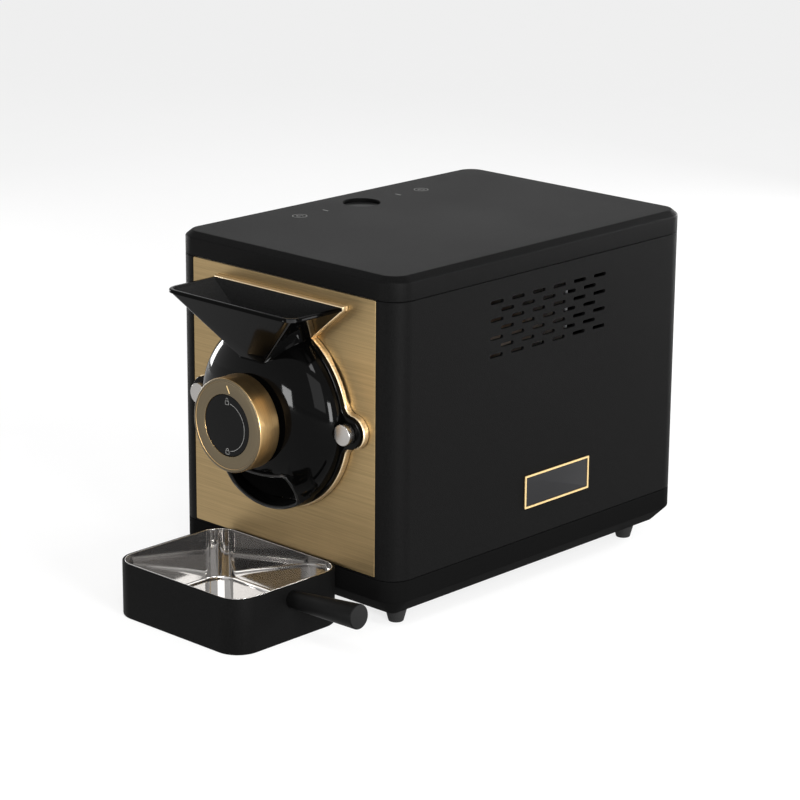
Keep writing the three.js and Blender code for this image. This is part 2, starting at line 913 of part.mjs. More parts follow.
// Hairpin heater: two runs under the drum, joined by a bend at the front.
function heaterElement() {
  const back = rearBulkheadBack + heaterTail;
  const [halfGap, lowest] = polar(heaterOrbit, heaterHalfAngle - 90);
  const bendStart = heaterFront + heaterBend;
  const route = new THREE.CurvePath();
  const rightRun = new THREE.LineCurve3(
    new THREE.Vector3(halfGap, back, lowest),
    new THREE.Vector3(halfGap, bendStart, lowest),
  );
  const leftRun = new THREE.LineCurve3(
    new THREE.Vector3(-halfGap, bendStart, lowest),
    new THREE.Vector3(-halfGap, back, lowest),
  );
  const turnSteps = 12;
  const bend = Array.from({ length: turnSteps + 1 }, (_, i) => {
    const share = i / turnSteps;
    const angle = THREE.MathUtils.degToRad(-90 + heaterHalfAngle * (1 - 2 * share));
    const ease = Math.sin(Math.PI * share);
    const y = bendStart - heaterBend * ease;
    return new THREE.Vector3(heaterOrbit * Math.cos(angle), y, heaterOrbit * Math.sin(angle));
  });
  route.add(rightRun);
  route.add(new THREE.CatmullRomCurve3(bend));
  route.add(leftRun);
  const outline = new THREE.Shape();
  outline.absarc(0, 0, heaterRadius, 0, Math.PI * 2, false);
  const settings = { steps: 48, extrudePath: route, curveSegments: 4, bevelEnabled: false };
  return solid(new THREE.ExtrudeGeometry(outline, settings));
}

function temperatureProbe() {
  const at = polar(heaterOrbit, probeAngle);
  const headFront = rearBulkheadBack + clearance;
  const rod = bar("y", probeRadius, probeFront, headFront + overrun, at, tinySides);
  const head = bar("y", probeHeadRadius, headFront, headFront + probeHeadLength, at, tinySides);
  return join(rod, head);
}

// Outline of the cover's rim in front view: a circle with an ear on each side,
// and a concave fillet of its own where each ear leaves the circle.
function coverOutline(grow) {
  const rim = coverRadius + grow;
  const ear = earRadius + grow;
  const fillet = earFillet - grow;
  const toRim = rim + fillet;
  const toEar = ear + fillet;
  const filletX = (toRim * toRim - toEar * toEar + earReach * earReach) / (2 * earReach);
  const filletZ = Math.sqrt(toRim * toRim - filletX * filletX);
  const rimAngle = Math.atan2(filletZ, filletX);
  const earAngle = Math.atan2(filletZ, filletX - earReach);
  const shape = new THREE.Shape();
  shape.absarc(filletX, filletZ, fillet, Math.PI + rimAngle, Math.PI + earAngle, false);
  shape.absarc(earReach, 0, ear, earAngle, -earAngle, true);
  shape.absarc(filletX, -filletZ, fillet, Math.PI - earAngle, Math.PI - rimAngle, false);
  shape.absarc(0, 0, rim, -rimAngle, rimAngle - Math.PI, true);
  shape.absarc(-filletX, -filletZ, fillet, rimAngle, earAngle, false);
  shape.absarc(-earReach, 0, ear, Math.PI + earAngle, Math.PI - earAngle, true);
  shape.absarc(-filletX, filletZ, fillet, -earAngle, -rimAngle, false);
  shape.absarc(0, 0, rim, Math.PI - rimAngle, rimAngle, true);
  return shape;
}

// Front outline of the funnel's two slanted sides and its upright band.
function funnelOutline(grow) {
  const slope = (hopperRimHeight - hopperBand - hopperThroatHeight) / (hopperHalf - hopperThroatHalf);
  const bandZ = hopperRimHeight - hopperBand - (grow * slope) / 2;
  const top = hopperRimHeight + grow;
  const half = hopperHalf + grow;
  return polygon([
    [-half, top],
    [-half, bandZ],
    [-hopperThroatHalf, hopperThroatHeight],
    [hopperThroatHalf, hopperThroatHeight],
    [half, bandZ],
    [half, top],
  ]);
}

function trimPlate() {
  const plate = join(
    runBack(coverOutline(trimBorder), trimFront, trimBack, outlineSteps),
    runBack(funnelOutline(trimBorder), trimFront, trimBack),
  );
  const hole = bar("y", domeRadius - domeWall, trimFront - overrun, overrun, [0, 0], fineSides);
  return cut(plate, hole, screwHoles(trimFront - overrun, overrun));
}

// The dome's outline as a rounded power curve from its rim to the middle of its front.
function domeProfile(inset) {
  const radius = domeRadius - inset;
  const height = domeHeight - inset;
  const points = Array.from({ length: domeSteps + 1 }, (_, i) => {
    const angle = (i / domeSteps) * (Math.PI / 2);
    const across = radius * Math.cos(angle) ** (2 / domePower);
    const out = height * Math.sin(angle) ** (2 / domePower);
    return [across, coverFront - out];
  });
  points[domeSteps][0] = 0;
  return points;
}

function domeSolid(inset, back) {
  return turned([[0, back], [domeRadius - inset, back], ...domeProfile(inset)], fineSides);
}

// Points along an arc, in front view, at one depth. Its middle lies as far below the axis as the
// drop says, which for an arc about the axis is its radius.
function arcPoints(radius, halfSpan, depth, drop = radius) {
  const reach = Math.asin(halfSpan / radius);
  return Array.from({ length: arcSteps + 1 }, (_, i) => {
    const angle = reach * ((2 * i) / arcSteps - 1);
    return [radius * Math.sin(angle), -depth, radius - drop - radius * Math.cos(angle)];
  });
}

function browPoints(halfSpan, depth, drop) {
  return arcPoints(spoutBrowRadius, halfSpan, depth, drop);
}

// The spout's own body, drawn in from its outside by one wall for its hollow.
function spoutBody(inset) {
  const rimDepth = -coverFront - inset;
  const rootHalf = spoutRootHalf - inset;
  const rootDrop = Math.sqrt(domeRadius ** 2 - spoutRootHalf ** 2) - inset;
  const shoulders = [-1, 1].flatMap((side) => [
    [side * (spoutShoulderHalf - inset), -(spoutShoulderDepth - inset), -spoutShoulderDrop],
    [side * rootHalf, -rimDepth, -rootDrop],
  ]);
  return hull([
    ...shoulders,
    ...browPoints(spoutBrowHalf - inset, spoutBrowDepth - inset, spoutBrowDrop),
    ...arcPoints(spoutLipRadius - inset, spoutLipHalf - inset, spoutLipDepth),
    ...arcPoints(coverRadius - inset, spoutLipHalf, rimDepth),
  ]);
}

// What the spout's mouth cuts away: the space between its brow and its lip, run out forward.
function spoutMouth() {
  const drop = spoutBrowDrop + spoutWall;
  const lipRadius = spoutLipRadius - spoutWall;
  const brow = browPoints(spoutBrowHalf - spoutWall, spoutBrowDepth, drop);
  const lip = arcPoints(lipRadius, spoutLipHalf - spoutWall, spoutLipDepth);
  const lean = [0, drop - lipRadius, spoutLipDepth - spoutBrowDepth];
  const stretch = domeHeight / 2 / Math.hypot(...lean);
  const moved = (points, along) => points.map((point) => point.map((v, i) => v + lean[i] * along));
  return hull([
    ...moved(brow, stretch),
    ...moved(lip, stretch),
    ...moved(brow, -stretch),
    ...moved(lip, -stretch),
  ]);
}

// Rim corners of the funnel: round in front, square at the back.
function funnelSection(half, depth, back, z, radius) {
  const corner = (side) => Array.from({ length: cornerSteps + 1 }, (_, i) => {
    const angle = (i / cornerSteps) * (Math.PI / 2);
    const x = side * (half - radius + radius * Math.sin(angle));
    return [x, -(depth - radius + radius * Math.cos(angle)), z];
  });
  return [[-half, back, z], [half, back, z], ...corner(1), ...corner(-1)];
}

function funnelBody(inset) {
  const back = trimFront - clearance - inset;
  const rimBack = trimFront - clearance - (inset ? hopperRearLip : 0);
  const half = hopperHalf - inset;
  const depth = hopperDepth - inset;
  const corner = hopperCorner - inset / 2;
  const lift = inset ? overrun : 0;
  const throatHalf = hopperThroatHalf - inset;
  const throatDepth = hopperThroatDepth - inset;
  return hull([
    ...funnelSection(half, depth, rimBack, hopperRimHeight + lift, corner),
    ...funnelSection(half, depth, rimBack, hopperRimHeight - hopperBand, corner),
    ...funnelSection(throatHalf, throatDepth, back, hopperThroatHeight, hopperThroatCorner),
  ]);
}

function beanHopper() {
  const seat = domeSolid(-clearance, coverBack);
  const rim = bar("y", coverRadius + clearance, coverFront - clearance, 0, [0, 0], fineSides);
  return cut(funnelBody(0), funnelBody(hopperWall), seat, rim);
}

function domeCover() {
  const rim = runBack(coverOutline(0), coverFront, coverBack, outlineSteps);
  const outside = join(rim, domeSolid(0, coverBack), spoutBody(0));
  const inside = join(domeSolid(domeWall, coverBack + overrun), spoutBody(spoutWall));
  const shelf = runAcross(polygon([
    [coverFront - domeHeight, shelfFrontHeight],
    [-shelfEnd(), shelfRearHeight],
    [-shelfEnd(), shelfRearHeight - shelfThick],
    [coverFront - domeHeight, shelfFrontHeight - shelfThick],
  ]), -coverRadius, coverRadius);
  const innerShelf = shelf.intersect(domeSolid(domeWall / 2, coverBack));
  const shell = join(cut(outside, inside, spoutMouth(), funnelBody(hopperWall)), innerShelf);
  const bridgeHalf = bridgeHalfHeight + clearance;
  const notch = block(
    [-bridgeHalfLength - clearance, -bridgeRear - bridgeThick - clearance, -bridgeHalf],
    [bridgeHalfLength + clearance, 0, bridgeHalf],
  );
  const sleeveHole = bar("y", sleeveHoleRadius, coverFront - domeHeight - overrun, 0, [0, 0], roundSides);
  const pocketRadius = screwHeadRadius + clearance;
  const pocket = bar("y", pocketRadius, coverFront - domeHeight, coverFront, [earReach, 0]);
  return cut(shell, notch, sleeveHole, pocket, mirrored(pocket), screwHoles(coverFront - overrun, 0));
}

// The shelf ends just in front of the shutter.
function shelfEnd() {
  return shutterRear + shutterThick + shelfGap;
}

function knobRing() {
  const face = knobFront - knobFaceSink;
  const inner = knobRadius - knobWall;
  const rim = knobRadius - knobRimWidth;
  const bore = sleeveRadius + clearance;
  return turned([
    [knobRadius, -knobRear],
    [knobRadius, -knobFront + knobEdge],
    [knobRadius - knobEdge, -knobFront],
    [rim, -knobFront],
    [rim, -face],
    [capRadius + clearance, -face],
    [capRadius + clearance, -face + knobFaceThick],
    [inner, -face + knobFaceThick],
    [inner, -knobRear - knobWeb],
    [bore, -knobRear - knobWeb],
    [bore, -knobRear],
  ], fineSides);
}

function knobSleeve() {
  const bore = postRadius + clearance;
  const flangeBack = -knobRear - knobWeb - clearance;
  return turned([
    [bore, flangeBack - sleeveFlangeThick],
    [sleeveFlangeRadius, flangeBack - sleeveFlangeThick],
    [sleeveFlangeRadius, flangeBack],
    [sleeveRadius, flangeBack],
    [sleeveRadius, -shutterRear + clearance],
    [bore, -shutterRear + clearance],
  ], smallSides);
}

function shutterDisc() {
  const outline = new THREE.Shape();
  outline.absarc(0, 0, shutterRadius, 0, Math.PI * 2, false);
  const half = THREE.MathUtils.degToRad(windowHalfAngle);
  const up = Math.PI / 2;
  const window = new THREE.Path();
  window.absarc(0, 0, windowOuterRadius, up - half, up + half, false);
  window.absarc(0, 0, windowInnerRadius, up + half, up - half, true);
  window.closePath();
  const bore = new THREE.Path();
  bore.absarc(0, 0, sleeveRadius + clearance, 0, Math.PI * 2, false);
  outline.holes.push(window, bore);
  return runBack(outline, -shutterRear - shutterThick, -shutterRear, roundSides / 2);
}

function knobCap() {
  const front = -knobFront - capProud + knobFaceSink;
  const back = front + capThick;
  const socket = postRadius + clearance;
  return turned([
    [0, front],
    [capRadius, front],
    [capRadius, back],
    [capSocketRadius, back],
    [capSocketRadius, back + capSocketDepth - clearance],
    [socket, back + capSocketDepth - clearance],
    [socket, back - capThick / 4],
    [0, back - capThick / 4],
  ], fineSides);
}

// The post holds the cap still while the ring turns, and a flat bridge seats it in the rim.
function capPost() {
  const front = -knobFront - capProud + knobFaceSink + capThick - capThick / 4 + clearance;
  const post = bar("y", postRadius, front, -bridgeRear, [0, 0], smallSides);
  const bridge = block(
    [-bridgeHalfLength, -bridgeRear - bridgeThick, -bridgeHalfHeight],
    [bridgeHalfLength, -bridgeRear, bridgeHalfHeight],
  );
  return join(post, bridge);
}

function thumbScrew() {
  const headBack = coverFront - clearance;
  const headFront = headBack - screwHeadLength;
  return turned([
    [0, headFront],
    [screwHeadRadius - screwHeadEdge, headFront],
    [screwHeadRadius, headFront + screwHeadEdge],
    [screwHeadRadius, headBack],
    [screwShankRadius, headBack],
    [screwShankRadius, screwShankEnd],
    [0, screwShankEnd],
  ], smallSides);
}

function trayShell() {
  const halfX = trayWidth / 2;
  const halfY = trayDepth / 2;
  const outside = tower([
    { halfX: halfX - trayEdge, halfY: halfY - trayEdge, radius: trayCorner - trayEdge, z: 0 },
    { halfX, halfY, radius: trayCorner, z: trayEdge },
    { halfX, halfY, radius: trayCorner, z: trayHeight },
  ]);
  const inside = raised(
    roundRectangle(halfX - trayWall, halfY - trayWall, trayCorner - trayWall),
    trayWall,
    trayHeight + overrun,
  );
  const tenonHole = bar("x", tenonRadius + clearance, halfX - trayWall - overrun, halfX + overrun,
    [0, handleBaseHeight], smallSides);
  return cut(outside, inside, tenonHole);
}

function trayLiner() {
  const inset = trayWall + clearance;
  const halfX = trayWidth / 2 - inset;
  const halfY = trayDepth / 2 - inset;
  const radius = trayCorner - inset;
  const outside = raised(roundRectangle(halfX, halfY, radius), inset, trayHeight);
  const inside = raised(
    roundRectangle(halfX - linerWall, halfY - linerWall, radius - linerWall),
    inset + linerWall,
    trayHeight + overrun,
  );
  return cut(outside, inside);
}

// Length of the handle along its own slightly raised axis, to its furthest reach.
function handleLength() {
  const lean = Math.sin(handleTiltAngle) * (handleEndRadius - handleEdge);
  return (handleReach - trayWidth / 2 - handleStart() - lean) / Math.cos(handleTiltAngle);
}

// The raised axis tips the handle's flat end, so it starts a little way off the tray.
function handleStart() {
  return clearance + Math.sin(handleTiltAngle) * handleBaseRadius;
}

function trayHandle() {
  const length = handleLength();
  const grip = bar("x", handleBaseRadius, 0, length - handleEdge, [0, 0], roundSides / 2, handleEndRadius);
  const end = bar("x", handleEndRadius, length - handleEdge, length, [0, 0], roundSides / 2,
    handleEndRadius - handleEdge);
  const tenon = bar("x", tenonRadius, -handleStart() - trayWall + clearance, overrun, [0, 0], tinySides);
  return join(grip, end, tenon);
}

function rearPanel() {
  const half = rearPanelHalf;
  const low = casingZ + 2 * clearance;
  const high = lidZ - clearance;
  const plate = runBack(rectangle(-half, half, low, high), rearPanelFront, rearPanelBack);
  const from = rearPanelFront - overrun;
  const to = rearPanelBack + overrun;
  const rows = Math.floor(grilleRadius / slotRowPitch);
  const grille = Array.from({ length: 2 * rows + 1 }, (_, i) => {
    const dz = (i - rows) * slotRowPitch;
    const reach = Math.sqrt(grilleRadius ** 2 - dz ** 2);
    const halfSpan = (reach - slotHeight / 2) / 2;
    return [-1, 1].map((side) => {
      const centre = [fanFromMiddle + side * (halfSpan + slotHeight / 2), fanHeight + dz];
      return runBack(slotOutline(2 * halfSpan - slotHeight / 2, slotHeight, centre), from, to, slotSteps);
    });
  }).flat();
  const inletHole = opening(inletFromMiddle, inletHeight, inletNoseWidth, inletNoseHeight, from, to);
  const switchHole = opening(switchFromMiddle, switchAxisHeight, switchOpenWidth, switchOpenHeight, from, to);
  const screwRooms = [-1, 1].flatMap((side) => [rearScrewLowHeight, rearScrewHighHeight].map((z) =>
    bar("y", rearScrewRadius + clearance, from, to, [side * rearScrewFromMiddle, z], tinySides)));
  return cut(plate, ...grille, inletHole, switchHole, ...screwRooms);
}

// A rectangular hole a little larger than what passes through it.
function opening(x, z, width, height, from, to) {
  return block(
    [x - width / 2 - clearance, from, z - height / 2 - clearance],
    [x + width / 2 + clearance, to, z + height / 2 + clearance],
  );
}

// A block centred on the local Y axis.
function centred(width, height, from, to) {
  return block([-width / 2, from, -height / 2], [width / 2, to, height / 2]);
}

function powerInlet() {
  const flangeBack = rearPanelFront - clearance;
  const noseBack = rearPanelBack + inletProud;
  const flange = centred(inletNoseWidth + 2 * inletFlange, inletNoseHeight + 2 * inletFlange,
    flangeBack - inletFlangeThick, flangeBack);
  const body = centred(inletNoseWidth, inletNoseHeight, noseBack - inletLength, noseBack);
  const cavity = centred(inletNoseWidth - 2 * inletWall, inletNoseHeight - 2 * inletWall,
    noseBack - inletCavityDepth, noseBack + overrun);
  const pinRoot = noseBack - inletCavityDepth - overrun;
  const pins = [[-pinSpread, pinRise], [pinSpread, pinRise], [0, -earthPinDrop]].map(([x, z]) =>
    block(
      [x - pinThick / 2, pinRoot, z - pinWide / 2],
      [x + pinThick / 2, pinRoot + overrun + pinLength, z + pinWide / 2],
    ));
  return join(cut(join(flange, body), cavity), ...pins);
}

function switchPivot() {
  return rearPanelBack - rockerPivotSink;
}

function switchHousing() {
  const bezelFront = rearPanelBack + clearance;
  const bezel = centred(switchOpenWidth + 2 * bezelBorder, switchOpenHeight + 2 * bezelBorder,
    bezelFront, bezelFront + bezelThick);
  const body = centred(switchOpenWidth - clearance, switchOpenHeight - clearance,
    bezelFront - switchBodyLength, bezelFront + overrun);
  const cavity = centred(2 * (rockerHalfWidth + clearance), 2 * (rockerHalfLength + 2 * clearance),
    switchPivot() - rockerProud, bezelFront + bezelThick + overrun);
  const pinHole = bar("x", rockerPinRadius + clearance, -rockerPinReach - clearance,
    rockerPinReach + clearance, [switchPivot(), 0], tinySides);
  return cut(join(bezel, body), cavity, pinHole);
}

// The rocker stands with its pivot on the group's origin and is tilted by its mesh.
function switchRocker() {
  const keel = rockerKeel;
  const outline = polygon([
    [-keel, -keel],
    [rockerProud - rockerDish, -rockerHalfLength],
    [rockerProud, -rockerHalfLength],
    [rockerProud - rockerDish, 0],
    [rockerProud, rockerHalfLength],
    [rockerProud - rockerDish, rockerHalfLength],
    [-keel, keel],
  ]);
  const paddle = runAcross(outline, -rockerHalfWidth, rockerHalfWidth);
  return join(paddle, bar("x", rockerPinRadius, -rockerPinReach, rockerPinReach, [0, 0], tinySides));
}

function rearScrew() {
  const headFront = rearPanelBack + clearance;
  const head = bar("y", rearScrewHeadRadius, headFront, headFront + rearScrewHeadThick, [0, 0], smallSides);
  const shank = bar("y", rearScrewRadius, headFront - rearScrewLength, headFront + overrun, [0, 0], tinySides);
  return join(head, shank);
}

function fanFrame() {
  const back = rearPanelFront - clearance;
  const front = back - fanDepth;
  const half = fanSide / 2;
  const plate = runBack(roundRectangle(half, half, bossInset), front, back);
  const bore = bar("y", fanBore, front - overrun, back + overrun, [0, 0], roundSides);
  const mountBack = front + fanMountThick;
  const mount = bar("y", fanMountRadius, front, mountBack, [0, 0], smallSides);
  const pin = bar("y", fanPinRadius, front + overrun, mountBack + fanPinLength, [0, 0], tinySides);
  const width = fanStrutWidth / 2;
  const reach = fanBore + overrun;
  const struts = [
    block([-reach, front, -width], [reach, mountBack, width]),
    block([-width, front, -reach], [width, mountBack, reach]),
  ];
  return join(cut(plate, bore), mount, pin, ...struts);
}

function fanRotor() {
  const front = rearPanelFront - clearance - fanDepth + fanMountThick + runningClearance;
  const back = rearPanelFront - clearance - 2 * runningClearance;
  const bore = fanPinRadius + clearance;
  const hub = turned([
    [bore, front],
    [fanHubRadius, front],
    [fanHubRadius, back],
    [0, back],
    [0, back - fanHubWall],
    [bore, back - fanHubWall],
  ], smallSides);
  const half = (back - front) / 2 - clearance;
  const length = fanBladeTip - fanHubRadius + fanHubWall;
  const blade = block([-half, -fanBladeThick / 2, 0], [half, fanBladeThick / 2, length])
    .rotate([0, 0, 90 - fanBladePitch])
    .translate([0, (front + back) / 2, fanHubRadius - fanHubWall]);
  const blades = Array.from({ length: fanBladeCount }, (_, i) =>
    blade.rotate([0, (i * 360) / fanBladeCount, 0]));
  return join(hub, ...blades);
}

function controlBoard() {
  const low = footHeight + baseFloor + controlBossHeight + clearance;
  const top = low + boardThick;
  const board = block(
    [-controlBoardWidth / 2, 0, low],
    [controlBoardWidth / 2, controlBoardLength, top],
  );
  const sink = block(
    [-sinkWidth / 2, bossInset, top - boardThick / 2],
    [sinkWidth / 2, bossInset + sinkLength, top + sinkHeight],
  );
  const capacitor = bar("z", capacitorRadius, top - boardThick / 2, top + capacitorHeight,
    [sinkWidth / 2 + 2 * capacitorRadius, controlBoardLength / 2], smallSides);
  return join(board, sink, capacitor);
}

function badgeFrame() {
  const x = halfWidth + clearance;
  const outside = runAcross(
    rectangle(0, badgeWidth, 0, badgeHeight), x, x + badgeFrameThick);
  const inside = runAcross(
    rectangle(badgeBorder, badgeWidth - badgeBorder, badgeBorder, badgeHeight - badgeBorder),
    x - overrun, x + badgeFrameThick + overrun);
  return cut(outside, inside);
}

function badgePlate() {
  const x = halfWidth + clearance;
  const inset = badgeBorder + clearance;
  return runAcross(
    rectangle(inset, badgeWidth - inset, inset, badgeHeight - inset), x, x + badgePlateThick);
}

function foot() {
  return bar("z", footTipRadius, 0, footHeight - clearance, [0, 0], smallSides, footTopRadius);
}

// The whole roaster, piece by piece
const footPlaces = {
  foot_front_left: [footSideInset - halfWidth, footFrontInset],
  foot_front_right: [halfWidth - footSideInset, footFrontInset],
  foot_rear_left: [footSideInset - halfWidth, bodyDepth - footRearInset],
  foot_rear_right: [halfWidth - footSideInset, bodyDepth - footRearInset],
};
const feet = Object.entries(footPlaces).map(([name, [x, y]]) => {
  const made = piece(name, foot(), "rubber");
  made.position.set(x, y, 0);
  return made;
});

const housing = group(0, 0, 0,
  piece("base_pan", basePan(), "softBlack"),
  piece("casing_shell", casingShell(), "sandBlack"),
  piece("top_cover", topCover(), "sandBlack"),
  group(0, badgeFront, baseZ + badgeRise,
    piece("badge_frame", badgeFrame(), "satinGold"),
    piece("badge_plate", badgePlate(), "greyPlate")),
  group(controlBoardFromMiddle, controlBoardFront, 0,
    piece("control_board", controlBoard(), "boardGreen")),
  group(buttonInset - halfWidth, buttonFromFront, 0,
    piece("start_button", startButton(), "glossBlack"),
    piece("touch_board", touchBoard(), "boardGreen")),
  ...feet,
);

const roastingUnit = group(0, 0, axisHeight,
  piece("front_panel", frontPanel(), "brushedGold"),
  piece("front_bulkhead", frontBulkhead(), "plainSteel"),
  piece("rear_bulkhead", rearBulkhead(), "plainSteel"),
  piece("front_ring", frontRing(), "paleRing"),
  piece("chamber_shell", chamberShell(), "heatSteel"),
  piece("drum", drum(), "heatSteel"),
  piece("drum_shaft", drumShaft(), "plainSteel"),
  piece("rear_bearing", rearBearing(), "brass"),
  piece("drum_gear", drumGear(), "nylon"),
  piece("heater_element", heaterElement(), "heatSteel"),
  piece("temperature_probe", temperatureProbe(), "satinSteel"),
  group(earReach, 0, 0, piece("insert_right", threadedInsert(), "brass")),
  group(-earReach, 0, 0, piece("insert_left", threadedInsert(), "brass")),
);

// The pinion's teeth meet the gear's: a tooth of one faces a space of the other.
const [motorX, motorZ] = motorPlace();
const pinion = piece("motor_pinion", motorPinion(), "brass");
const gearPhase = (((motorAngle / 360) * drumGearTeeth) % 1) * 360;
const halfTurn = 180;
const pinionTurn = motorAngle + halfTurn + (gearPhase + halfTurn) / pinionTeeth;
pinion.rotation.y = -THREE.MathUtils.degToRad(pinionTurn);
const drive = group(motorX, 0, axisHeight + motorZ,
  piece("gear_motor", gearMotor(), "plainSteel"),
  piece("motor_bracket", motorBracket(), "plainSteel"),
  pinion,
);

const frontCover = group(0, 0, axisHeight,
  piece("trim_plate", trimPlate(), "satinGold"),
  piece("dome_cover", domeCover(), "glossBlack"),
  piece("bean_hopper", beanHopper(), "glossBlack"),
  piece("knob_ring", knobRing(), "satinGold"),
  piece("knob_sleeve", knobSleeve(), "plainSteel"),
  piece("shutter_disc", shutterDisc(), "plainSteel"),
  piece("knob_cap", knobCap(), "softBlack"),
  piece("cap_post", capPost(), "plainSteel"),
  group(earReach, 0, 0, piece("thumb_screw_right", thumbScrew(), "satinSteel")),
  group(-earReach, 0, 0, piece("thumb_screw_left", thumbScrew(), "satinSteel")),
);

const rearScrews = [rearScrewLowHeight, rearScrewHighHeight].flatMap((z, row) =>
  [-1, 1].map((side, column) => {
    const made = piece(`rear_screw_${2 * row + column + 1}`, rearScrew(), "plainSteel");
    made.position.set(side * rearScrewFromMiddle, 0, z);
    return made;
  }));
const rocker = piece("switch_rocker", switchRocker(), "glossBlack");
rocker.position.y = switchPivot();
rocker.rotation.x = -THREE.MathUtils.degToRad(rockerTilt);
const rear = group(0, 0, 0,
  piece("rear_panel", rearPanel(), "sandBlack"),
  group(fanFromMiddle, 0, fanHeight,
    piece("fan_frame", fanFrame(), "softBlack"),
    piece("fan_rotor", fanRotor(), "softBlack")),
  group(inletFromMiddle, 0, inletHeight, piece("power_inlet", powerInlet(), "softBlack")),
  group(switchFromMiddle, 0, switchAxisHeight,
    piece("switch_housing", switchHousing(), "softBlack"),
    rocker),
  ...rearScrews,
);

const handle = piece("tray_handle", trayHandle(), "softBlack");
handle.position.set(trayWidth / 2 + handleStart(), 0, handleBaseHeight);
handle.rotation.y = -handleTiltAngle;
const trayMiddle = -trayGap - trayDepth / 2;
const tray = group(0, trayMiddle, 0,
  piece("tray_shell", trayShell(), "sandBlack"),
  piece("tray_liner", trayLiner(), "mirrorSteel"),
  handle,
);

// The origin lies on the floor, under the middle of the whole outline.
const middleX = (handleReach - halfWidth) / 2;
const middleY = (bodyDepth - trayGap - trayDepth) / 2;
export default group(-middleX, -middleY, 0, housing, roastingUnit, drive, frontCover, rear, tray);
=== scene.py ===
"""Home coffee bean roaster: its visible pieces and their finishes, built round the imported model."""

import json
import math

import bmesh
import bpy
from bpy.props import FloatProperty, FloatVectorProperty, IntProperty, PointerProperty
from bpy.types import Operator, Panel, PropertyGroup
from mathutils import Matrix, Vector
from mathutils.kdtree import KDTree


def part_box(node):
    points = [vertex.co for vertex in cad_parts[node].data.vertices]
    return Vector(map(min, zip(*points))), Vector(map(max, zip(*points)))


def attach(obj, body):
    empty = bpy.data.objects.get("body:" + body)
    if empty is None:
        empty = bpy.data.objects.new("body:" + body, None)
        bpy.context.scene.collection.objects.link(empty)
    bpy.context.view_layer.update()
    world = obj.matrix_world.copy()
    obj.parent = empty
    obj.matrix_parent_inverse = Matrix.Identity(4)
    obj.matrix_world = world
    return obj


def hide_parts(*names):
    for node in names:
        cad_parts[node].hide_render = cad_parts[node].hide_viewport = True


bl_info = {
    "name": "Home Coffee Bean Roaster",
    "version": (1, 0, 0),
    "blender": (4, 5, 0),
    "location": "3D View > Sidebar > Roaster",
    "description": "Builds the roaster's visible pieces and their finishes round its packed model",
    "category": "Object",
}

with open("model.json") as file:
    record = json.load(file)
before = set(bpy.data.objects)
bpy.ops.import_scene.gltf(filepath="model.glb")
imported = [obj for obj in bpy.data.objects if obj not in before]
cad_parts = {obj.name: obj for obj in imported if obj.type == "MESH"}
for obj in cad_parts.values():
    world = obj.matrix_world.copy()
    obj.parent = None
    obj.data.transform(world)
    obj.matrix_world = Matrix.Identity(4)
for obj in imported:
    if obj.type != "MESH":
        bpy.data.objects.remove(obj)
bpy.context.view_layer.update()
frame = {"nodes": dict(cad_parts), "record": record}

# Lengths are in millimetres. Pieces are drawn from the middle of the casing's front edge:
# X to the viewer's right, Y to the rear, Z up from the floor or, on the cover, from its axis.
MM = 0.001
CASING_LOW, CASING_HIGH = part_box("casing_shell")
ORIGIN_X = (CASING_LOW.x + CASING_HIGH.x) / 2
ORIGIN_Y = CASING_LOW.y

# Casing, lid and base
HALF_WIDTH = 94.0
HALF_DEPTH = 136.25
DEPTH = 2 * HALF_DEPTH
MIDDLE = (0, HALF_DEPTH)
CORNER = 14.7
CASING_LOW_Z = 32.3
CASING_TOP_Z = 204.2
CASING_WALL = 2.0
WINDOW_HALF = 78.5
WINDOW_Z = 33.1
TAB_X = (66.0, 92.4)
TAB_Y = (256.9, 267.9)
TAB_HALF_Z = 6.0
LID_Z = 204.5
LID_CHAMFER_Z = 215.6
TOP_Z = 219.0
LID_CHAMFER = 4.2
LID_WALL = 2.5
BASE_TIP_Z = 8.3
BASE_TIP_EASE = 0.8
BASE_Z = 19.0
BASE_EDGE_EASE = 2.0
BASE_TOP_Z = 32.0
BASE_CHAMFER = 10.7
BASE_LEDGE = 13.2
BASE_FLOOR_Z = 10.8
WELL_CORNER = 4.0
BOSS_X = (-63.0, 11.0)
BOSS_Y = (193.0, 249.0)
BOSS_RADIUS = 3.0
BOSS_TOP_Z = 14.8
AXIS_Z = 121.5
AXIS = (0, AXIS_Z)
OVERRUN = 2.0

# Vent slots
SLOT_LENGTH = 11.6
SLOT_HEIGHT = 2.3
SLOT_PITCH = 19.3
SLOT_ROW_PITCH = 5.56
SLOT_ROWS = 7
SLOT_COLUMNS = 6
SLOT_FRONT_Y = 89.2
SLOT_TOP_Z = 190.1
FINE = 0.02

# Button and marks in the lid
BUTTON_AT = (-65.5, 136.0)
BUTTON_HOLE = 12.1
BUTTON_RADIUS = 11.6
BUTTON_FLANGE = 14.0
BUTTON_LOW_Z = 213.8
BUTTON_LEDGE_Z = 216.2
BUTTON_SINK = 2.2
LID_MARK_X = -65.0
LID_MARK_WIDTH = 0.35
LID_RING = 4.6
BEAN_Y, BEAN_RADIUS = 79.5, 2.0
POWER_Y, POWER_RADIUS, POWER_WIDTH = 192.0, 2.1, 0.4
DASH_Y = (102.5, 170.0)
DASH_HALF, DASH_WIDTH = 2.4, 0.8

# Front panel and trim
PANEL_HALF_X = 78.2
PANEL_HALF_Z = 85.25
PANEL_MIDDLE_Z = 118.65
PANEL_CORNER = 0.8
PANEL_EASE = 0.25
PANEL_DEPTH = 2.0
PANEL_BORE = 50.3
SCREW_HOLE = 2.9
# How far the trim's outline has grown at each place from its front to its back
TRIM_FLANK = ((0.15, -4.0), (0.35, -3.8), (0.55, -2.8), (0.7, -1.6), (0.8, -0.3))

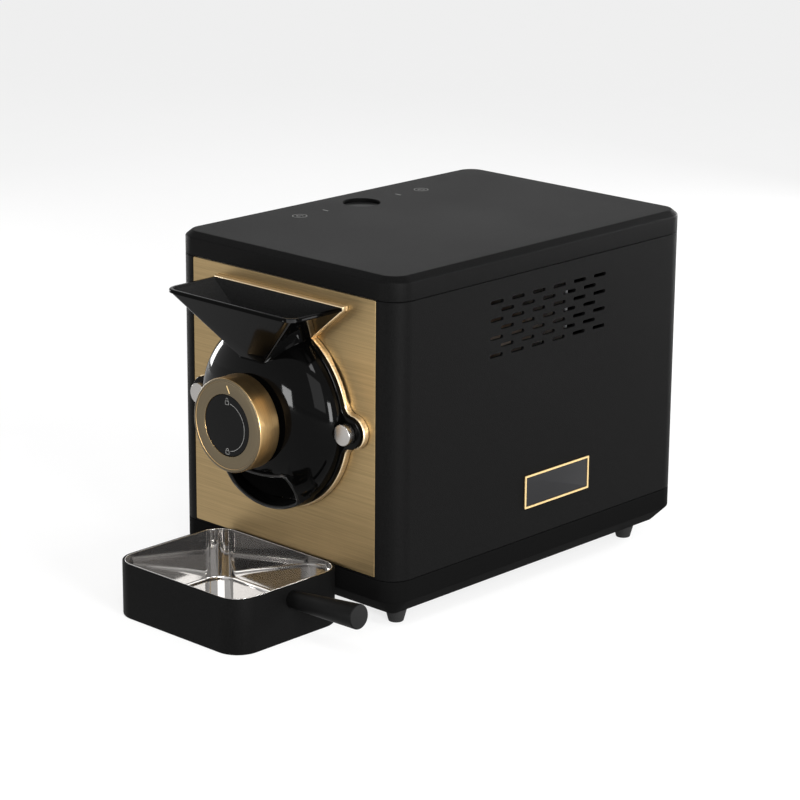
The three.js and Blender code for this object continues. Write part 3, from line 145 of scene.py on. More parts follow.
# Cover
EAR_REACH = 62.6
COVER_RADIUS = 59.0
EAR_RADIUS = 10.0
EAR_FILLET = 7.0
DOME_RADIUS = 57.6
DOME_HEIGHT = 22.5
DOME_POWER = 2.2
DOME_WALL = 3.4
COVER_FRONT = -7.0
COVER_BACK = -4.0
RIM_LEVELS = ((-0.7, -7.0), (-0.35, -6.9), (-0.1, -6.65), (0.0, -6.3), (0.0, COVER_BACK))
SLEEVE_BORE = 8.5
SCREW_POCKET = 6.8
CHANNEL_HALF_X = 55.8
CHANNEL_HALF_Z = 4.3
CHANNEL_FRONT = -6.9
SHELF = ((-29.5, 31), (-10.2, 20.5), (-10.2, 18.5), (-29.5, 29))
SPOUT_WALL = 1.6
SPOUT_ROOT_HALF = 44.0
MOUTH_REACH = 11.0
BROW_RADIUS = 97.0
BROW_DROP = 33.1
BROW_HALF = 30.5
BROW_DEPTH = 25.6
LIP_RADIUS = 53.5
LIP_HALF = 31.6
LIP_DEPTH = 13.6
LIP_DROP = 58.7
SHOULDER = (31.5, 24.8, 18.5)

# Hopper, with heights from the cover's axis
GAP = 0.3
HOPPER_BACK = COVER_BACK - GAP
HOPPER_HALF = 55.0
HOPPER_DEPTH = 46.0
HOPPER_CORNER = 9.0
HOPPER_WALL = 2.4
HOPPER_REAR_LIP = 0.8
HOPPER_TOP = 74.8
HOPPER_BAND = 1.6
HOPPER_BAND_STEP = 0.9
HOPPER_BAND_LOW = 72.5
HOLLOW_TOP = 73.2
THROAT_HALF = 11.0
THROAT_DEPTH = 25.5
THROAT_LOW = 36.5
THROAT_CORNER = 2.5
SEAM_RADIUS = 0.55

# Knob, cap and thumb screws
KNOB_RADIUS = 29.0
KNOB_REAR = -30.4
KNOB_FRONT = -46.3
KNOB_INNER = 25.5
KNOB_INNER_REAR = -33.4
KNOB_WELL = 19.2
KNOB_WELL_REAR = -42.9
KNOB_HUB = 8.3
CAP_RADIUS = 18.9
CAP_FRONT = -45.9
CAP_REAR = -43.4
CAP_SOCKET = (4.6, 7.0)
CAP_SOCKET_FRONT = -44.0
CAP_SOCKET_REAR = -39.3
FACE_FRONT = -45.7
FACE_SINK = 0.4
# Each padlock's place on the cap, and how far its shackle is lifted open
PADLOCKS = ((0.2, 14.2, 0.5), (0.3, -16.6, 0.0))
PADLOCK_WIDTH = 0.28
SWEEP_RADIUS = 15.05
SCREW_HEAD = 6.5
SCREW_SHANK = 2.5
SCREW_FRONT = -12.3
SCREW_SEAT = -7.3
SCREW_END = 10.0

# Badge and feet
BADGE_AT = (148.2, 62.7)
BADGE_HALF = (30.7, 10.7)
BADGE_BORDER = 1.2
BADGE_GAP = 0.3
BADGE_BACK = 94.3
BADGE_FRONT = 94.9
BADGE_FIELD_FRONT = 94.7
FOOT_X = 76.3
FOOT_Y = (("front", 21.3), ("rear", 239.2))
FOOT_TIP = 4.6
FOOT_RADIUS = 6.75
FOOT_HEIGHT = 8.0

# Tray
TRAY_HALF_X = 55.3
TRAY_HALF_Y = 45.2
TRAY_MIDDLE_Y = -46.0
TRAY_HEIGHT = 35.0
TRAY_CORNER = 16.0
TRAY_WALL = 1.2
LINER_GAP = 0.3
LINER_INNER = 0.75
HANDLE_Z = 26.0
HANDLE_TILT = 3.6
HANDLE_REACH = 111.2
HANDLE_SPIGOT = 4.0
HANDLE_HOLE = 4.3
HANDLE_ROOT = 5.4
HANDLE_END = 7.65
HANDLE_END_LEVEL = 6.95

# Rear
REAR_PANEL_BACK = 270.2
REAR_SCREW_X = 72.0
REAR_SCREW_Z = (46.0, 192.0)
REAR_SCREW_SHANK = 1.6
REAR_SCREW_HEAD = 3.6
REAR_SCREW_LENGTH = 9.0
CROSS_ARM = 1.9
CROSS_HALF = 0.38

# The photograph's camera: azimuth, elevation and roll in degrees, place in metres, lens in mm
CAMERA_ANGLES = (43.3057, 16.4673, 0.4448)
CAMERA_AT = (1.17177, -1.13892, 0.61094)
CAMERA_LENS = 126.28
SENSOR_WIDTH = 36.0
FLOOR_HALF = 3000.0


class Form:
    """Points and faces of one piece, in millimetres."""

    def __init__(self):
        self.points = []
        self.faces = []

    def add(self, points, faces):
        start = len(self.points)
        self.points += [tuple(point) for point in points]
        self.faces += [[start + i for i in face] for face in faces]
        return self

    def rings(self, rings, ends=True, looped=False):
        """Joins rings of equally many points, and closes the ends or joins last to first."""
        count = len(rings[0])
        points = [point for ring in rings for point in ring]
        pairs = [(i, i + 1) for i in range(len(rings) - 1)]
        if looped:
            pairs.append((len(rings) - 1, 0))
        faces = [
            [a * count + i, a * count + (i + 1) % count, b * count + (i + 1) % count, b * count + i]
            for a, b in pairs
            for i in range(count)
        ]
        if ends and not looped:
            faces.append(list(range(count))[::-1])
            faces.append([(len(rings) - 1) * count + i for i in range(count)])
        return self.add(points, faces)

    def moved(self, x=0.0, y=0.0, z=0.0):
        self.points = [(px + x, py + y, pz + z) for px, py, pz in self.points]
        return self

    def turned(self, degrees, axis):
        spin = Matrix.Rotation(math.radians(degrees), 3, axis)
        self.points = [tuple(spin @ Vector(point)) for point in self.points]
        return self

    def mirrored(self):
        """The same form on the other side of the middle plane."""
        self.points = [(-x, y, z) for x, y, z in self.points]
        self.faces = [face[::-1] for face in self.faces]
        return self

    def joined(self, *others):
        for other in others:
            self.add(other.points, other.faces)
        return self

    def made(self, name):
        """A mesh object from the form, with doubled points merged and its faces turned outward."""
        mesh = bpy.data.meshes.new(name)
        places = [(x * MM + ORIGIN_X, y * MM + ORIGIN_Y, z * MM) for x, y, z in self.points]
        mesh.from_pydata(places, [], self.faces)
        work = bmesh.new()
        work.from_mesh(mesh)
        bmesh.ops.remove_doubles(work, verts=work.verts, dist=1e-6)
        bmesh.ops.recalc_face_normals(work, faces=work.faces)
        work.to_mesh(mesh)
        work.free()
        thing = bpy.data.objects.new(name, mesh)
        bpy.context.scene.collection.objects.link(thing)
        return thing


def eased(path, closed=True, steps=5):
    """A path of (u, v, radius) corners, with each corner rounded by its radius."""
    out = []
    for i, (u, v, radius) in enumerate(path):
        at_end = not closed and i in (0, len(path) - 1)
        if radius <= 0 or at_end:
            out.append((u, v))
            continue
        corner = Vector((u, v))
        before = (Vector(path[i - 1][:2]) - corner).normalized()
        after = (Vector(path[(i + 1) % len(path)][:2]) - corner).normalized()
        half = before.angle(after) / 2
        reach = radius / math.tan(half)
        centre = corner + (before + after).normalized() * (radius / math.sin(half))
        first = corner + before * reach - centre
        last = corner + after * reach - centre
        sweep = math.pi - 2 * half
        for k in range(steps + 1):
            share = k / steps
            weights = math.sin((1 - share) * sweep), math.sin(share * sweep)
            spot = centre + (first * weights[0] + last * weights[1]) / math.sin(sweep)
            out.append((spot.x, spot.y))
    return out


def arc(centre, radius, start, end, steps):
    """Points on an arc in a plane, between two angles in degrees."""
    turn = [math.radians(start + (end - start) * k / steps) for k in range(steps + 1)]
    return [(centre[0] + radius * math.cos(a), centre[1] + radius * math.sin(a)) for a in turn]


def round_box(half_u, half_v, radius, centre=(0.0, 0.0), steps=14):
    """The outline of a rectangle with round corners."""
    corners = [(1, 1, 0), (-1, 1, 90), (-1, -1, 180), (1, -1, 270)]
    return [
        point
        for u, v, start in corners
        for point in arc(
            (centre[0] + u * (half_u - radius), centre[1] + v * (half_v - radius)),
            radius, start, start + 90, steps,
        )
    ]


def tower(levels, centre=(0.0, 0.0), steps=14):
    """An upright form with a round-cornered outline (half_x, half_y, radius, z) at each level."""
    rings = [
        [(x, y, z) for x, y in round_box(hx, hy, radius, centre, steps)]
        for hx, hy, radius, z in levels
    ]
    return Form().rings(rings)


def inset_levels(half_x, half_y, radius, path):
    """Levels of a tower from a path of (inset, z)."""
    return [(half_x - d, half_y - d, max(radius - d, 0.3), z) for d, z in path]


def block(low, high):
    (x0, y0, z0), (x1, y1, z1) = low, high
    rings = [[(x0, y0, z), (x1, y0, z), (x1, y1, z), (x0, y1, z)] for z in (z0, z1)]
    return Form().rings(rings)


def plate(outline, low, high, axis="y"):
    """An outline run along an axis between two places."""
    place = {
        "x": lambda u, v, w: (w, u, v),
        "y": lambda u, v, w: (u, w, v),
        "z": lambda u, v, w: (u, v, w),
    }[axis]
    return Form().rings([[place(u, v, w) for u, v in outline] for w in (low, high)])


def spun(profile, axis="y", centre=(0.0, 0.0), steps=96):
    """A body turned about an axis from a path of (radius, place along the axis)."""
    on_axis = profile[0][0] == 0 and profile[-1][0] == 0
    place = {
        "x": lambda r, w, c, s: (w, centre[0] + r * c, centre[1] + r * s),
        "y": lambda r, w, c, s: (centre[0] + r * c, w, centre[1] + r * s),
        "z": lambda r, w, c, s: (centre[0] + r * c, centre[1] + r * s, w),
    }[axis]
    turns = [2 * math.pi * k / steps for k in range(steps)]
    rings = [[place(r, w, math.cos(a), math.sin(a)) for a in turns] for r, w in profile]
    return Form().rings(rings, ends=False, looped=not on_axis)


def rod(radius, low, high, axis="y", centre=AXIS, steps=96):
    """A plain round bar along an axis, mostly used to bore holes."""
    return spun([(0, low), (radius, low), (radius, high), (0, high)], axis, centre, steps)


def hull(points):
    """The smallest convex form round a list of points."""
    work = bmesh.new()
    for point in points:
        work.verts.new(point)
    result = bmesh.ops.convex_hull(work, input=work.verts, use_existing_faces=False)
    loose = {item for key in ("geom_interior", "geom_unused") for item in result[key]}
    inner = [item for item in loose if isinstance(item, bmesh.types.BMVert)]
    bmesh.ops.delete(work, geom=inner, context="VERTS")
    bmesh.ops.dissolve_limit(
        work, angle_limit=math.radians(0.4), verts=work.verts, edges=work.edges)
    work.verts.index_update()
    form = Form().add([v.co[:] for v in work.verts], [[v.index for v in f.verts] for f in work.faces])
    work.free()
    return form


def ribbon(path, width, low, high, closed=False, axis="y"):
    """A thin flat line along a path in the plane across the axis."""
    count = len(path)
    left, right = [], []
    for i, (u, v) in enumerate(path):
        before = path[i - 1] if closed or i else path[i]
        after = path[(i + 1) % count] if closed or i < count - 1 else path[i]
        along = Vector((after[0] - before[0], after[1] - before[1])).normalized()
        side = Vector((-along.y, along.x)) * width / 2
        left.append((u + side.x, v + side.y))
        right.append((u - side.x, v - side.y))
    place = {"y": lambda u, v, w: (u, w, v), "z": lambda u, v, w: (u, v, w)}[axis]
    rings = [
        [place(*left[i], low), place(*right[i], low), place(*right[i], high), place(*left[i], high)]
        for i in range(count)
    ]
    return Form().rings(rings, ends=not closed, looped=closed)


def settle(thing):
    """Bakes an object's modifiers into its mesh."""
    graph = bpy.context.evaluated_depsgraph_get()
    baked = bpy.data.meshes.new_from_object(thing.evaluated_get(graph))
    old = thing.data
    thing.modifiers.clear()
    thing.data = baked
    bpy.data.meshes.remove(old)
    return thing


def shaped(thing, operation, *tools):
    """Joins tools to a body, cuts them away, or keeps what they share."""
    for tool in tools:
        other = tool.made("tool") if isinstance(tool, Form) else tool
        step = thing.modifiers.new("shape", "BOOLEAN")
        step.operation = operation
        step.solver = "EXACT"
        step.object = other
        settle(thing)
        bpy.data.objects.remove(other)
    return thing


def cut(thing, *tools):
    return shaped(thing, "DIFFERENCE", *tools)


def softened(thing, width, steps=2, angle=40):
    """Rounds every edge that is sharper than an angle."""
    edge = thing.modifiers.new("edge", "BEVEL")
    edge.width = width * MM
    edge.segments = steps
    edge.limit_method = "ANGLE"
    edge.angle_limit = math.radians(angle)
    edge.use_clamp_overlap = False
    edge.miter_outer = "MITER_ARC"
    return settle(thing)


def finished(thing, body, slot, material, *nodes, angle=32):
    """Gives a piece its shading, finish and body, and hides the nodes that it stands for."""
    thing.data.shade_smooth()
    thing.data.set_sharp_from_angle(angle=math.radians(angle))
    thing.data.materials.clear()
    thing.data.materials.append(material)
    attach(thing, body)
    if nodes:
        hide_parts(*nodes)
    return thing


def tinted(thing, material, chosen):
    """Gives the faces that a test picks a finish of their own."""
    thing.data.materials.append(material)
    for face in thing.data.polygons:
        if chosen(face):
            face.material_index = 1


def copied(node, name, width):
    """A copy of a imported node's form, with its edges eased, for a small moulded piece."""
    source = frame["nodes"][node]
    mesh = source.data.copy()
    mesh.name = name
    mesh.transform(source.matrix_world)
    thing = bpy.data.objects.new(name, mesh)
    bpy.context.scene.collection.objects.link(thing)
    work = bmesh.new()
    work.from_mesh(mesh)
    bmesh.ops.remove_doubles(work, verts=work.verts, dist=1e-6)
    bmesh.ops.dissolve_limit(
        work, angle_limit=math.radians(0.5), verts=work.verts, edges=work.edges)
    work.to_mesh(mesh)
    work.free()
    for name_of_layer in [layer.name for layer in mesh.uv_layers]:
        mesh.uv_layers.remove(mesh.uv_layers[name_of_layer])
    return softened(thing, width)


class Wire:
    """An output of a node, which takes part in plain maths."""

    def __init__(self, recipe, socket):
        self.recipe = recipe
        self.socket = socket

    def _maths(self, operation, *terms):
        return self.recipe.node("ShaderNodeMath", {"operation": operation}, dict(enumerate(terms)))

    def __add__(self, other):
        return self._maths("ADD", self, other)

    def __sub__(self, other):
        return self._maths("SUBTRACT", self, other)

    def __rsub__(self, other):
        return self._maths("SUBTRACT", other, self)

    def __mul__(self, other):
        return self._maths("MULTIPLY", self, other)

    def __truediv__(self, other):
        return self._maths("DIVIDE", self, other)

    __radd__ = __add__
    __rmul__ = __mul__


class Recipe:
    """A material's nodes, written as expressions."""

    def __init__(self, name):
        self.material = bpy.data.materials.new(name)
        self.material.use_nodes = True
        self.tree = self.material.node_tree
        self.tree.nodes.clear()

    def node(self, kind, settings=None, sockets=None, out=0):
        """Adds a node, sets it, feeds its sockets with values or wires, and gives one output."""
        made = self.tree.nodes.new(kind)
        for key, value in (settings or {}).items():
            if key == "stops":
                while len(made.color_ramp.elements) < len(value):
                    made.color_ramp.elements.new(1.0)
                for element, (place, shade) in zip(made.color_ramp.elements, value):
                    element.position = place
                    element.color = (shade, shade, shade, 1.0)
            else:
                setattr(made, key, value)
        for key, value in (sockets or {}).items():
            if isinstance(value, Wire):
                self.tree.links.new(value.socket, made.inputs[key])
            else:
                made.inputs[key].default_value = value
        return Wire(self, made.outputs[out]) if len(made.outputs) else made

    def place(self, scale=(1.0, 1.0, 1.0), shift=(0.0, 0.0, 0.0)):
        """The point of the surface in the roaster's frame, moved and then stretched."""
        spot = self.node("ShaderNodeTexCoord", out="Object")
        spot = self.node(
            "ShaderNodeVectorMath", {"operation": "SUBTRACT"}, {0: spot, 1: shift})
        return self.node("ShaderNodeVectorMath", {"operation": "MULTIPLY"}, {0: spot, 1: scale})

    def noise(self, vector, scale, detail=2.0, roughness=0.5):
        return self.node(
            "ShaderNodeTexNoise", None,
            {"Vector": vector, "Scale": scale, "Detail": detail, "Roughness": roughness})

    def ramp(self, value, stops):
        return self.node("ShaderNodeValToRGB", {"stops": stops}, {"Fac": value})

    def mix(self, share, first, second):
        """A colour between two colours."""
        return self.node(
            "ShaderNodeMix", {"data_type": "RGBA"}, {0: share, 6: full(first), 7: full(second)}, out=2)

    def bump(self, height, strength, distance):
        return self.node(
            "ShaderNodeBump", None,
            {"Height": height, "Strength": strength, "Distance": distance * MM})

    def surface(self, **sockets):
        names = {key.replace("_", " "): value for key, value in sockets.items()}
        shader = self.node("ShaderNodeBsdfPrincipled", None, names)
        self.node("ShaderNodeOutputMaterial", None, {"Surface": shader})
        return self.material


def full(colour):
    """A colour with its alpha, where it has none."""
    if isinstance(colour, Wire):
        return colour
    return (*colour[:3], 1.0)


def lighter(colour, times):
    return tuple(min(part * times, 1.0) for part in colour[:3])


def in_frame(x, y, z):
    """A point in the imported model's frame, in metres."""
    return (x * MM + ORIGIN_X, y * MM + ORIGIN_Y, z * MM)


def powder_coat(name, colour, grain=1500.0, depth=0.14, roughness=0.53, level=0.036):
    """Painted sheet with a fine sand texture."""
    r = Recipe(name)
    spot = r.place()
    sand = r.noise(spot, grain, 2.0, 0.6)
    clouds = r.noise(spot, 9.0, 3.0, 0.55)
    speck = r.ramp(sand, [(0.36, 0.0), (0.66, 1.0)])
    shade = speck * 0.75 + clouds * 0.25
    return r.surface(
        Base_Color=r.mix(shade, lighter(colour, 0.55), lighter(colour, 1.5)),
        Roughness=clouds * 0.12 + (roughness - 0.06),
        Normal=r.bump(sand, 0.8, depth),
        Specular_IOR_Level=level)


def moulded(name, colour, roughness=0.5, grain=2600.0, depth=0.012, level=0.06):
    """Moulded plastic with a faint spark-eroded grain."""
    r = Recipe(name)
    spot = r.place()
    skin = r.noise(spot, grain, 2.0, 0.5)
    clouds = r.noise(spot, 14.0, 3.0, 0.5)
    return r.surface(
        Base_Color=r.mix(clouds, lighter(colour, 0.8), lighter(colour, 1.2)),
        Roughness=clouds * 0.14 + (roughness - 0.07),
        Normal=r.bump(skin, 0.3, depth),
        Specular_IOR_Level=level)


def lacquer(name, colour, roughness=0.05, level=0.07):
    """Polished black plastic, with a slight orange peel and fine wiping marks."""
    r = Recipe(name)
    spot = r.place()
    peel = r.noise(spot, 120.0, 2.0, 0.4)
    wipes = r.noise(r.place((60.0, 60.0, 420.0)), 1.0, 3.0, 0.6)
    marks = r.ramp(wipes, [(0.5, 0.0), (0.75, 1.0)])
    return r.surface(
        Base_Color=r.mix(marks, colour, lighter(colour, 1.4)),
        Roughness=marks * 0.05 + roughness,
        Normal=r.bump(peel, 0.04, 0.05),
        Specular_IOR_Level=level)


def brushed(name, colour, roughness=0.34):
    """Sheet metal brushed from side to side: long fine streaks along X."""
    r = Recipe(name)
    broad = r.noise(r.place((9.0, 9.0, 1100.0)), 1.0, 3.0, 0.6)
    fine = r.noise(r.place((45.0, 45.0, 5200.0)), 1.0, 2.0, 0.6)
    clouds = r.noise(r.place(), 7.0, 2.0, 0.5)
    streak = broad * 0.55 + fine * 0.45
    tone = r.ramp(streak, [(0.33, 0.0), (0.67, 1.0)])
    return r.surface(
        Base_Color=r.mix(tone, lighter(colour, 0.80), lighter(colour, 1.16)),
        Metallic=1.0,
        Roughness=fine * 0.16 + clouds * 0.08 + (roughness - 0.12),
        Normal=r.bump(streak, 0.16, 0.02))


def lathed(name, colour, centre, axis="y", roughness=0.26, lines=2600.0, contrast=0.12):
    """Turned metal: fine rings about its own axis on its faces, and round its sides."""
    r = Recipe(name)
    spot = r.place(shift=in_frame(*centre))
    apart = r.node("ShaderNodeSeparateXYZ", None, {0: spot}, out=0)
    parts = [Wire(r, apart.socket.node.outputs[i]) for i in range(3)]
    along = parts["xyz".index(axis)]
    across = [part for letter, part in zip("xyz", parts) if letter != axis]
    radius = r.node(
        "ShaderNodeMath", {"operation": "SQRT"},
        {0: across[0] * across[0] + across[1] * across[1]})
    rings = r.node("ShaderNodeCombineXYZ", None, {0: radius, 1: along})
    fine = r.noise(rings, lines, 2.0, 0.6)
    smudge = r.noise(spot, 60.0, 2.0, 0.5)
    tone = r.ramp(fine, [(0.3, 0.0), (0.7, 1.0)])
    return r.surface(
        Base_Color=r.mix(tone, lighter(colour, 1 - contrast), lighter(colour, 1 + contrast)),
        Metallic=1.0,
        Roughness=fine * 0.06 + smudge * 0.03 + (roughness - 0.045),
        Normal=r.bump(fine, 0.05, 0.01))


def plain_metal(name, colour, roughness=0.35):
    """Plain sheet or turned metal, with mill marks and slight stains."""
    r = Recipe(name)
    marks = r.noise(r.place((300.0, 300.0, 40.0)), 1.0, 3.0, 0.6)
    stains = r.noise(r.place(), 28.0, 3.0, 0.6)
    shade = marks * 0.5 + stains * 0.5
    return r.surface(
        Base_Color=r.mix(shade, lighter(colour, 0.78), lighter(colour, 1.15)),
        Metallic=1.0,
        Roughness=marks * 0.12 + stains * 0.14 + (roughness - 0.13),
        Normal=r.bump(marks, 0.1, 0.02))


def polished(name, colour, roughness=0.045):
    """Polished sheet with faint wiping marks that hardly dull it."""
    r = Recipe(name)
    wipes = r.noise(r.place((24.0, 24.0, 24.0)), 1.0, 2.0, 0.5)
    return r.surface(
        Base_Color=r.mix(wipes, lighter(colour, 0.94), lighter(colour, 1.04)),
        Metallic=0.97,
        Roughness=wipes * 0.03 + (roughness - 0.02))


def blued_steel(name, colour, roughness=0.42):
    """Steel that heat has tinted, with brown and blue clouds."""
    r = Recipe(name)
    clouds = r.noise(r.place((30.0, 14.0, 30.0)), 1.0, 4.0, 0.6)
    marks = r.noise(r.place((500.0, 60.0, 500.0)), 1.0, 2.0, 0.6)
    warm = r.mix(r.ramp(clouds, [(0.38, 0.0), (0.62, 1.0)]), colour, (0.20, 0.13, 0.08))
    return r.surface(
        Base_Color=r.mix(r.ramp(clouds, [(0.6, 0.0), (0.75, 1.0)]), warm, (0.16, 0.17, 0.22)),
        Metallic=1.0,
        Roughness=marks * 0.15 + clouds * 0.1 + (roughness - 0.12),
        Normal=r.bump(marks, 0.1, 0.02))


def circuit_board(name, colour):
    """Solder mask with a faint pattern of tracks under it."""
    r = Recipe(name)
    spot = r.place((420.0, 420.0, 420.0))
    tracks = r.node(
        "ShaderNodeTexVoronoi", {"distance": "CHEBYCHEV", "feature": "F2"},
        {"Vector": spot, "Scale": 0.6})
    lines = r.ramp(tracks, [(0.45, 0.0), (0.5, 1.0)])
    return r.surface(
        Base_Color=r.mix(lines, colour, lighter(colour, 1.5)),
        Roughness=lines * 0.1 + 0.38,
        Normal=r.bump(lines, 0.2, 0.03),
        Specular_IOR_Level=0.4)


def ink(name, colour, roughness=0.5, metallic=0.0):
    """Printed marks, a little uneven where the ink is thin."""
    r = Recipe(name)
    thin = r.noise(r.place(), 900.0, 2.0, 0.5)
    return r.surface(
        Base_Color=r.mix(thin, lighter(colour, 0.85), lighter(colour, 1.1)),
        Metallic=metallic,
        Roughness=thin * 0.1 + (roughness - 0.05))


def colour_property(name, description, default):
    return FloatVectorProperty(
        name=name, description=description, subtype="COLOR", size=3, min=0.0, max=1.0, default=default)


def length_property(name, description, default, low, high):
    return FloatProperty(
        name=name, description=description, unit="LENGTH",
        default=default * MM, min=low * MM, max=high * MM)


def power_property(name, description, default):
    return FloatProperty(
        name=name, description=f"Power of the {description}", unit="POWER", default=default, min=0.0)


class RoasterFinishes(PropertyGroup):
    """Colours of the roaster's finishes."""

    casing: colour_property("Casing", "Powder coat of the casing, lid and tray", (0.003, 0.003, 0.003))
    moulding: colour_property(
        "Moulding", "Matt black plastic of the base, handle and knob cap", (0.003, 0.003, 0.003))
    gloss: colour_property(
        "Gloss black", "Polished plastic of the cover and hopper", (0.0008, 0.0008, 0.0008))
    panel_gold: colour_property("Panel gold", "Brushed metal of the front panel", (0.275, 0.197, 0.097))
    knob_gold: colour_property("Knob gold", "Turned metal of the knob", (0.50, 0.33, 0.15))
    trim_gold: colour_property("Trim gold", "Pale gold of the trim under the cover", (0.80, 0.64, 0.42))
    steel: colour_property("Steel", "Turned metal of the thumb screws", (0.37, 0.355, 0.34))
    liner: colour_property("Liner", "Mirror metal of the tray's liner", (0.55, 0.54, 0.53))
    mark: colour_property("Marks", "Printed marks on the cap and the lid", (0.21, 0.21, 0.20))


class RoasterEdges(PropertyGroup):
    """How softly the roaster's edges are rounded, and how finely its curves are cut."""

    casing_edge: length_property("Casing edge", "Rounding of the casing's cut edges", 0.35, 0.0, 1.0)
    lid_edge: length_property("Lid edge", "Rounding above and below the lid's chamfer", 1.6, 0.2, 3.0)
    knob_edge: length_property("Knob edge", "Rounding of the knob's front edge", 1.1, 0.1, 1.4)
    curve_steps: IntProperty(
        name="Curve steps", description="Sides of the large round pieces", default=144, min=48, max=256)


class RoasterLight(PropertyGroup):
    """Strength of the studio lamps and of the pale surroundings."""

    above: power_property("Above", "lamp above", 3.5)
    front: power_property("Front", "lamp at the front left", 4.6)
    right: power_property("Right", "lamp at the right", 18.0)
    left: power_property("Left", "lamp at the left", 5.0)
    near: power_property("Near", "large soft lamp beside the camera", 5.5)
    rear: power_property("Rear", "low lamp straight behind", 12.0)
    rear_right: power_property("Rear right", "lamp behind at the right", 2.5)
    behind: power_property("Behind", "lamp behind", 1.2)
    ambient: FloatProperty(
        name="Ambient", description="Strength of the surroundings' diffuse light",
        default=0.35, min=0.0)


def finishes():
    """All the finishes by name, made once."""
    if not _made:
        tint = bpy.context.scene.roaster_finishes
        knob = (0, 0, AXIS_Z)
        _made.update(
            sand_black=powder_coat("sand_black", tint.casing),
            soft_black=moulded("soft_black", tint.moulding),
            rim_black=moulded("rim_black", tint.moulding, roughness=0.38, level=0.2),
            # Twice as light as the moulding: painted light on the handle's end, which faces the lamp at
            # the right.
            rod_end=moulded("rod_end", lighter(tint.moulding, 2.0), roughness=0.6, level=0.12),
            base_black=moulded("base_black", tint.moulding, roughness=0.8, level=0.02),
            # Matt sand coat for the hopper's hollow, several times lighter than the casing's black: a real
            # matt finish, with painted light that lifts the shaded hollow.
            inside_black=powder_coat("inside_black", (0.016, 0.016, 0.016), level=0.06),
            # Darker than the moulding and nearly without sheen: painted shade for the shutter seen through
            # the spout's mouth.
            mouth_black=moulded("mouth_black", lighter(tint.moulding, 0.3), roughness=0.8, level=0.01),
            cap_black=moulded("cap_black", lighter(tint.moulding, 1.1), roughness=0.42, depth=0.004),
            gloss_black=lacquer("gloss_black", tint.gloss),
            hopper_black=lacquer("hopper_black", tint.gloss, roughness=0.09, level=0.03),
            brushed_gold=brushed("brushed_gold", tint.panel_gold, roughness=0.42),
            satin_gold=lathed("satin_gold", tint.knob_gold, knob, roughness=0.33),
            face_gold=lathed("face_gold", (0.11, 0.088, 0.056), knob, roughness=0.4),
            trim_gold=brushed("trim_gold", tint.trim_gold, roughness=0.38),
            satin_steel=lathed("satin_steel", tint.steel, (EAR_REACH, 0, AXIS_Z), roughness=0.24),
            satin_steel_left=lathed(
                "satin_steel_left", tint.steel, (-EAR_REACH, 0, AXIS_Z), roughness=0.24),
            mirror_steel=polished("mirror_steel", tint.liner),
            plain_steel=plain_metal("plain_steel", (0.50, 0.51, 0.52)),
            heat_steel=blued_steel("heat_steel", (0.34, 0.30, 0.26)),
            brass=plain_metal("brass", (0.66, 0.47, 0.20), roughness=0.3),
            rubber=moulded("rubber", (0.010, 0.010, 0.010), roughness=0.8, depth=0.03, level=0.25),
            board_green=circuit_board("board_green", (0.015, 0.075, 0.035)),
            pale_ring=moulded("pale_ring", (0.66, 0.61, 0.53), roughness=0.6),
            nylon=moulded("nylon", (0.74, 0.71, 0.62), roughness=0.45),
            grey_plate=moulded("grey_plate", (0.020, 0.020, 0.021), roughness=0.42),
            marks=ink("marks", tint.mark),
            gold_mark=ink("gold_mark", (0.78, 0.56, 0.26), roughness=0.35, metallic=0.6),
        )
    return _made


_made = {}


def slots():
    """The vent slots of one side, as cutters through the right wall."""
    form = Form()
    for row in range(SLOT_ROWS):
        short = row % 2
        z = SLOT_TOP_Z - row * SLOT_ROW_PITCH
        for column in range(SLOT_COLUMNS - short):
            y = SLOT_FRONT_Y + (column + short / 2) * SLOT_PITCH
            outline = round_box(SLOT_LENGTH / 2, SLOT_HEIGHT / 2, SLOT_HEIGHT / 2 - FINE, (y, z), 5)
            form.joined(plate(outline, HALF_WIDTH - 2 * OVERRUN, HALF_WIDTH + OVERRUN, "x"))
    return form


def body_tower(path):
    """A tower in the casing's outline, from a path of (inset, z)."""
    return tower(inset_levels(HALF_WIDTH, HALF_DEPTH, CORNER, path), MIDDLE)


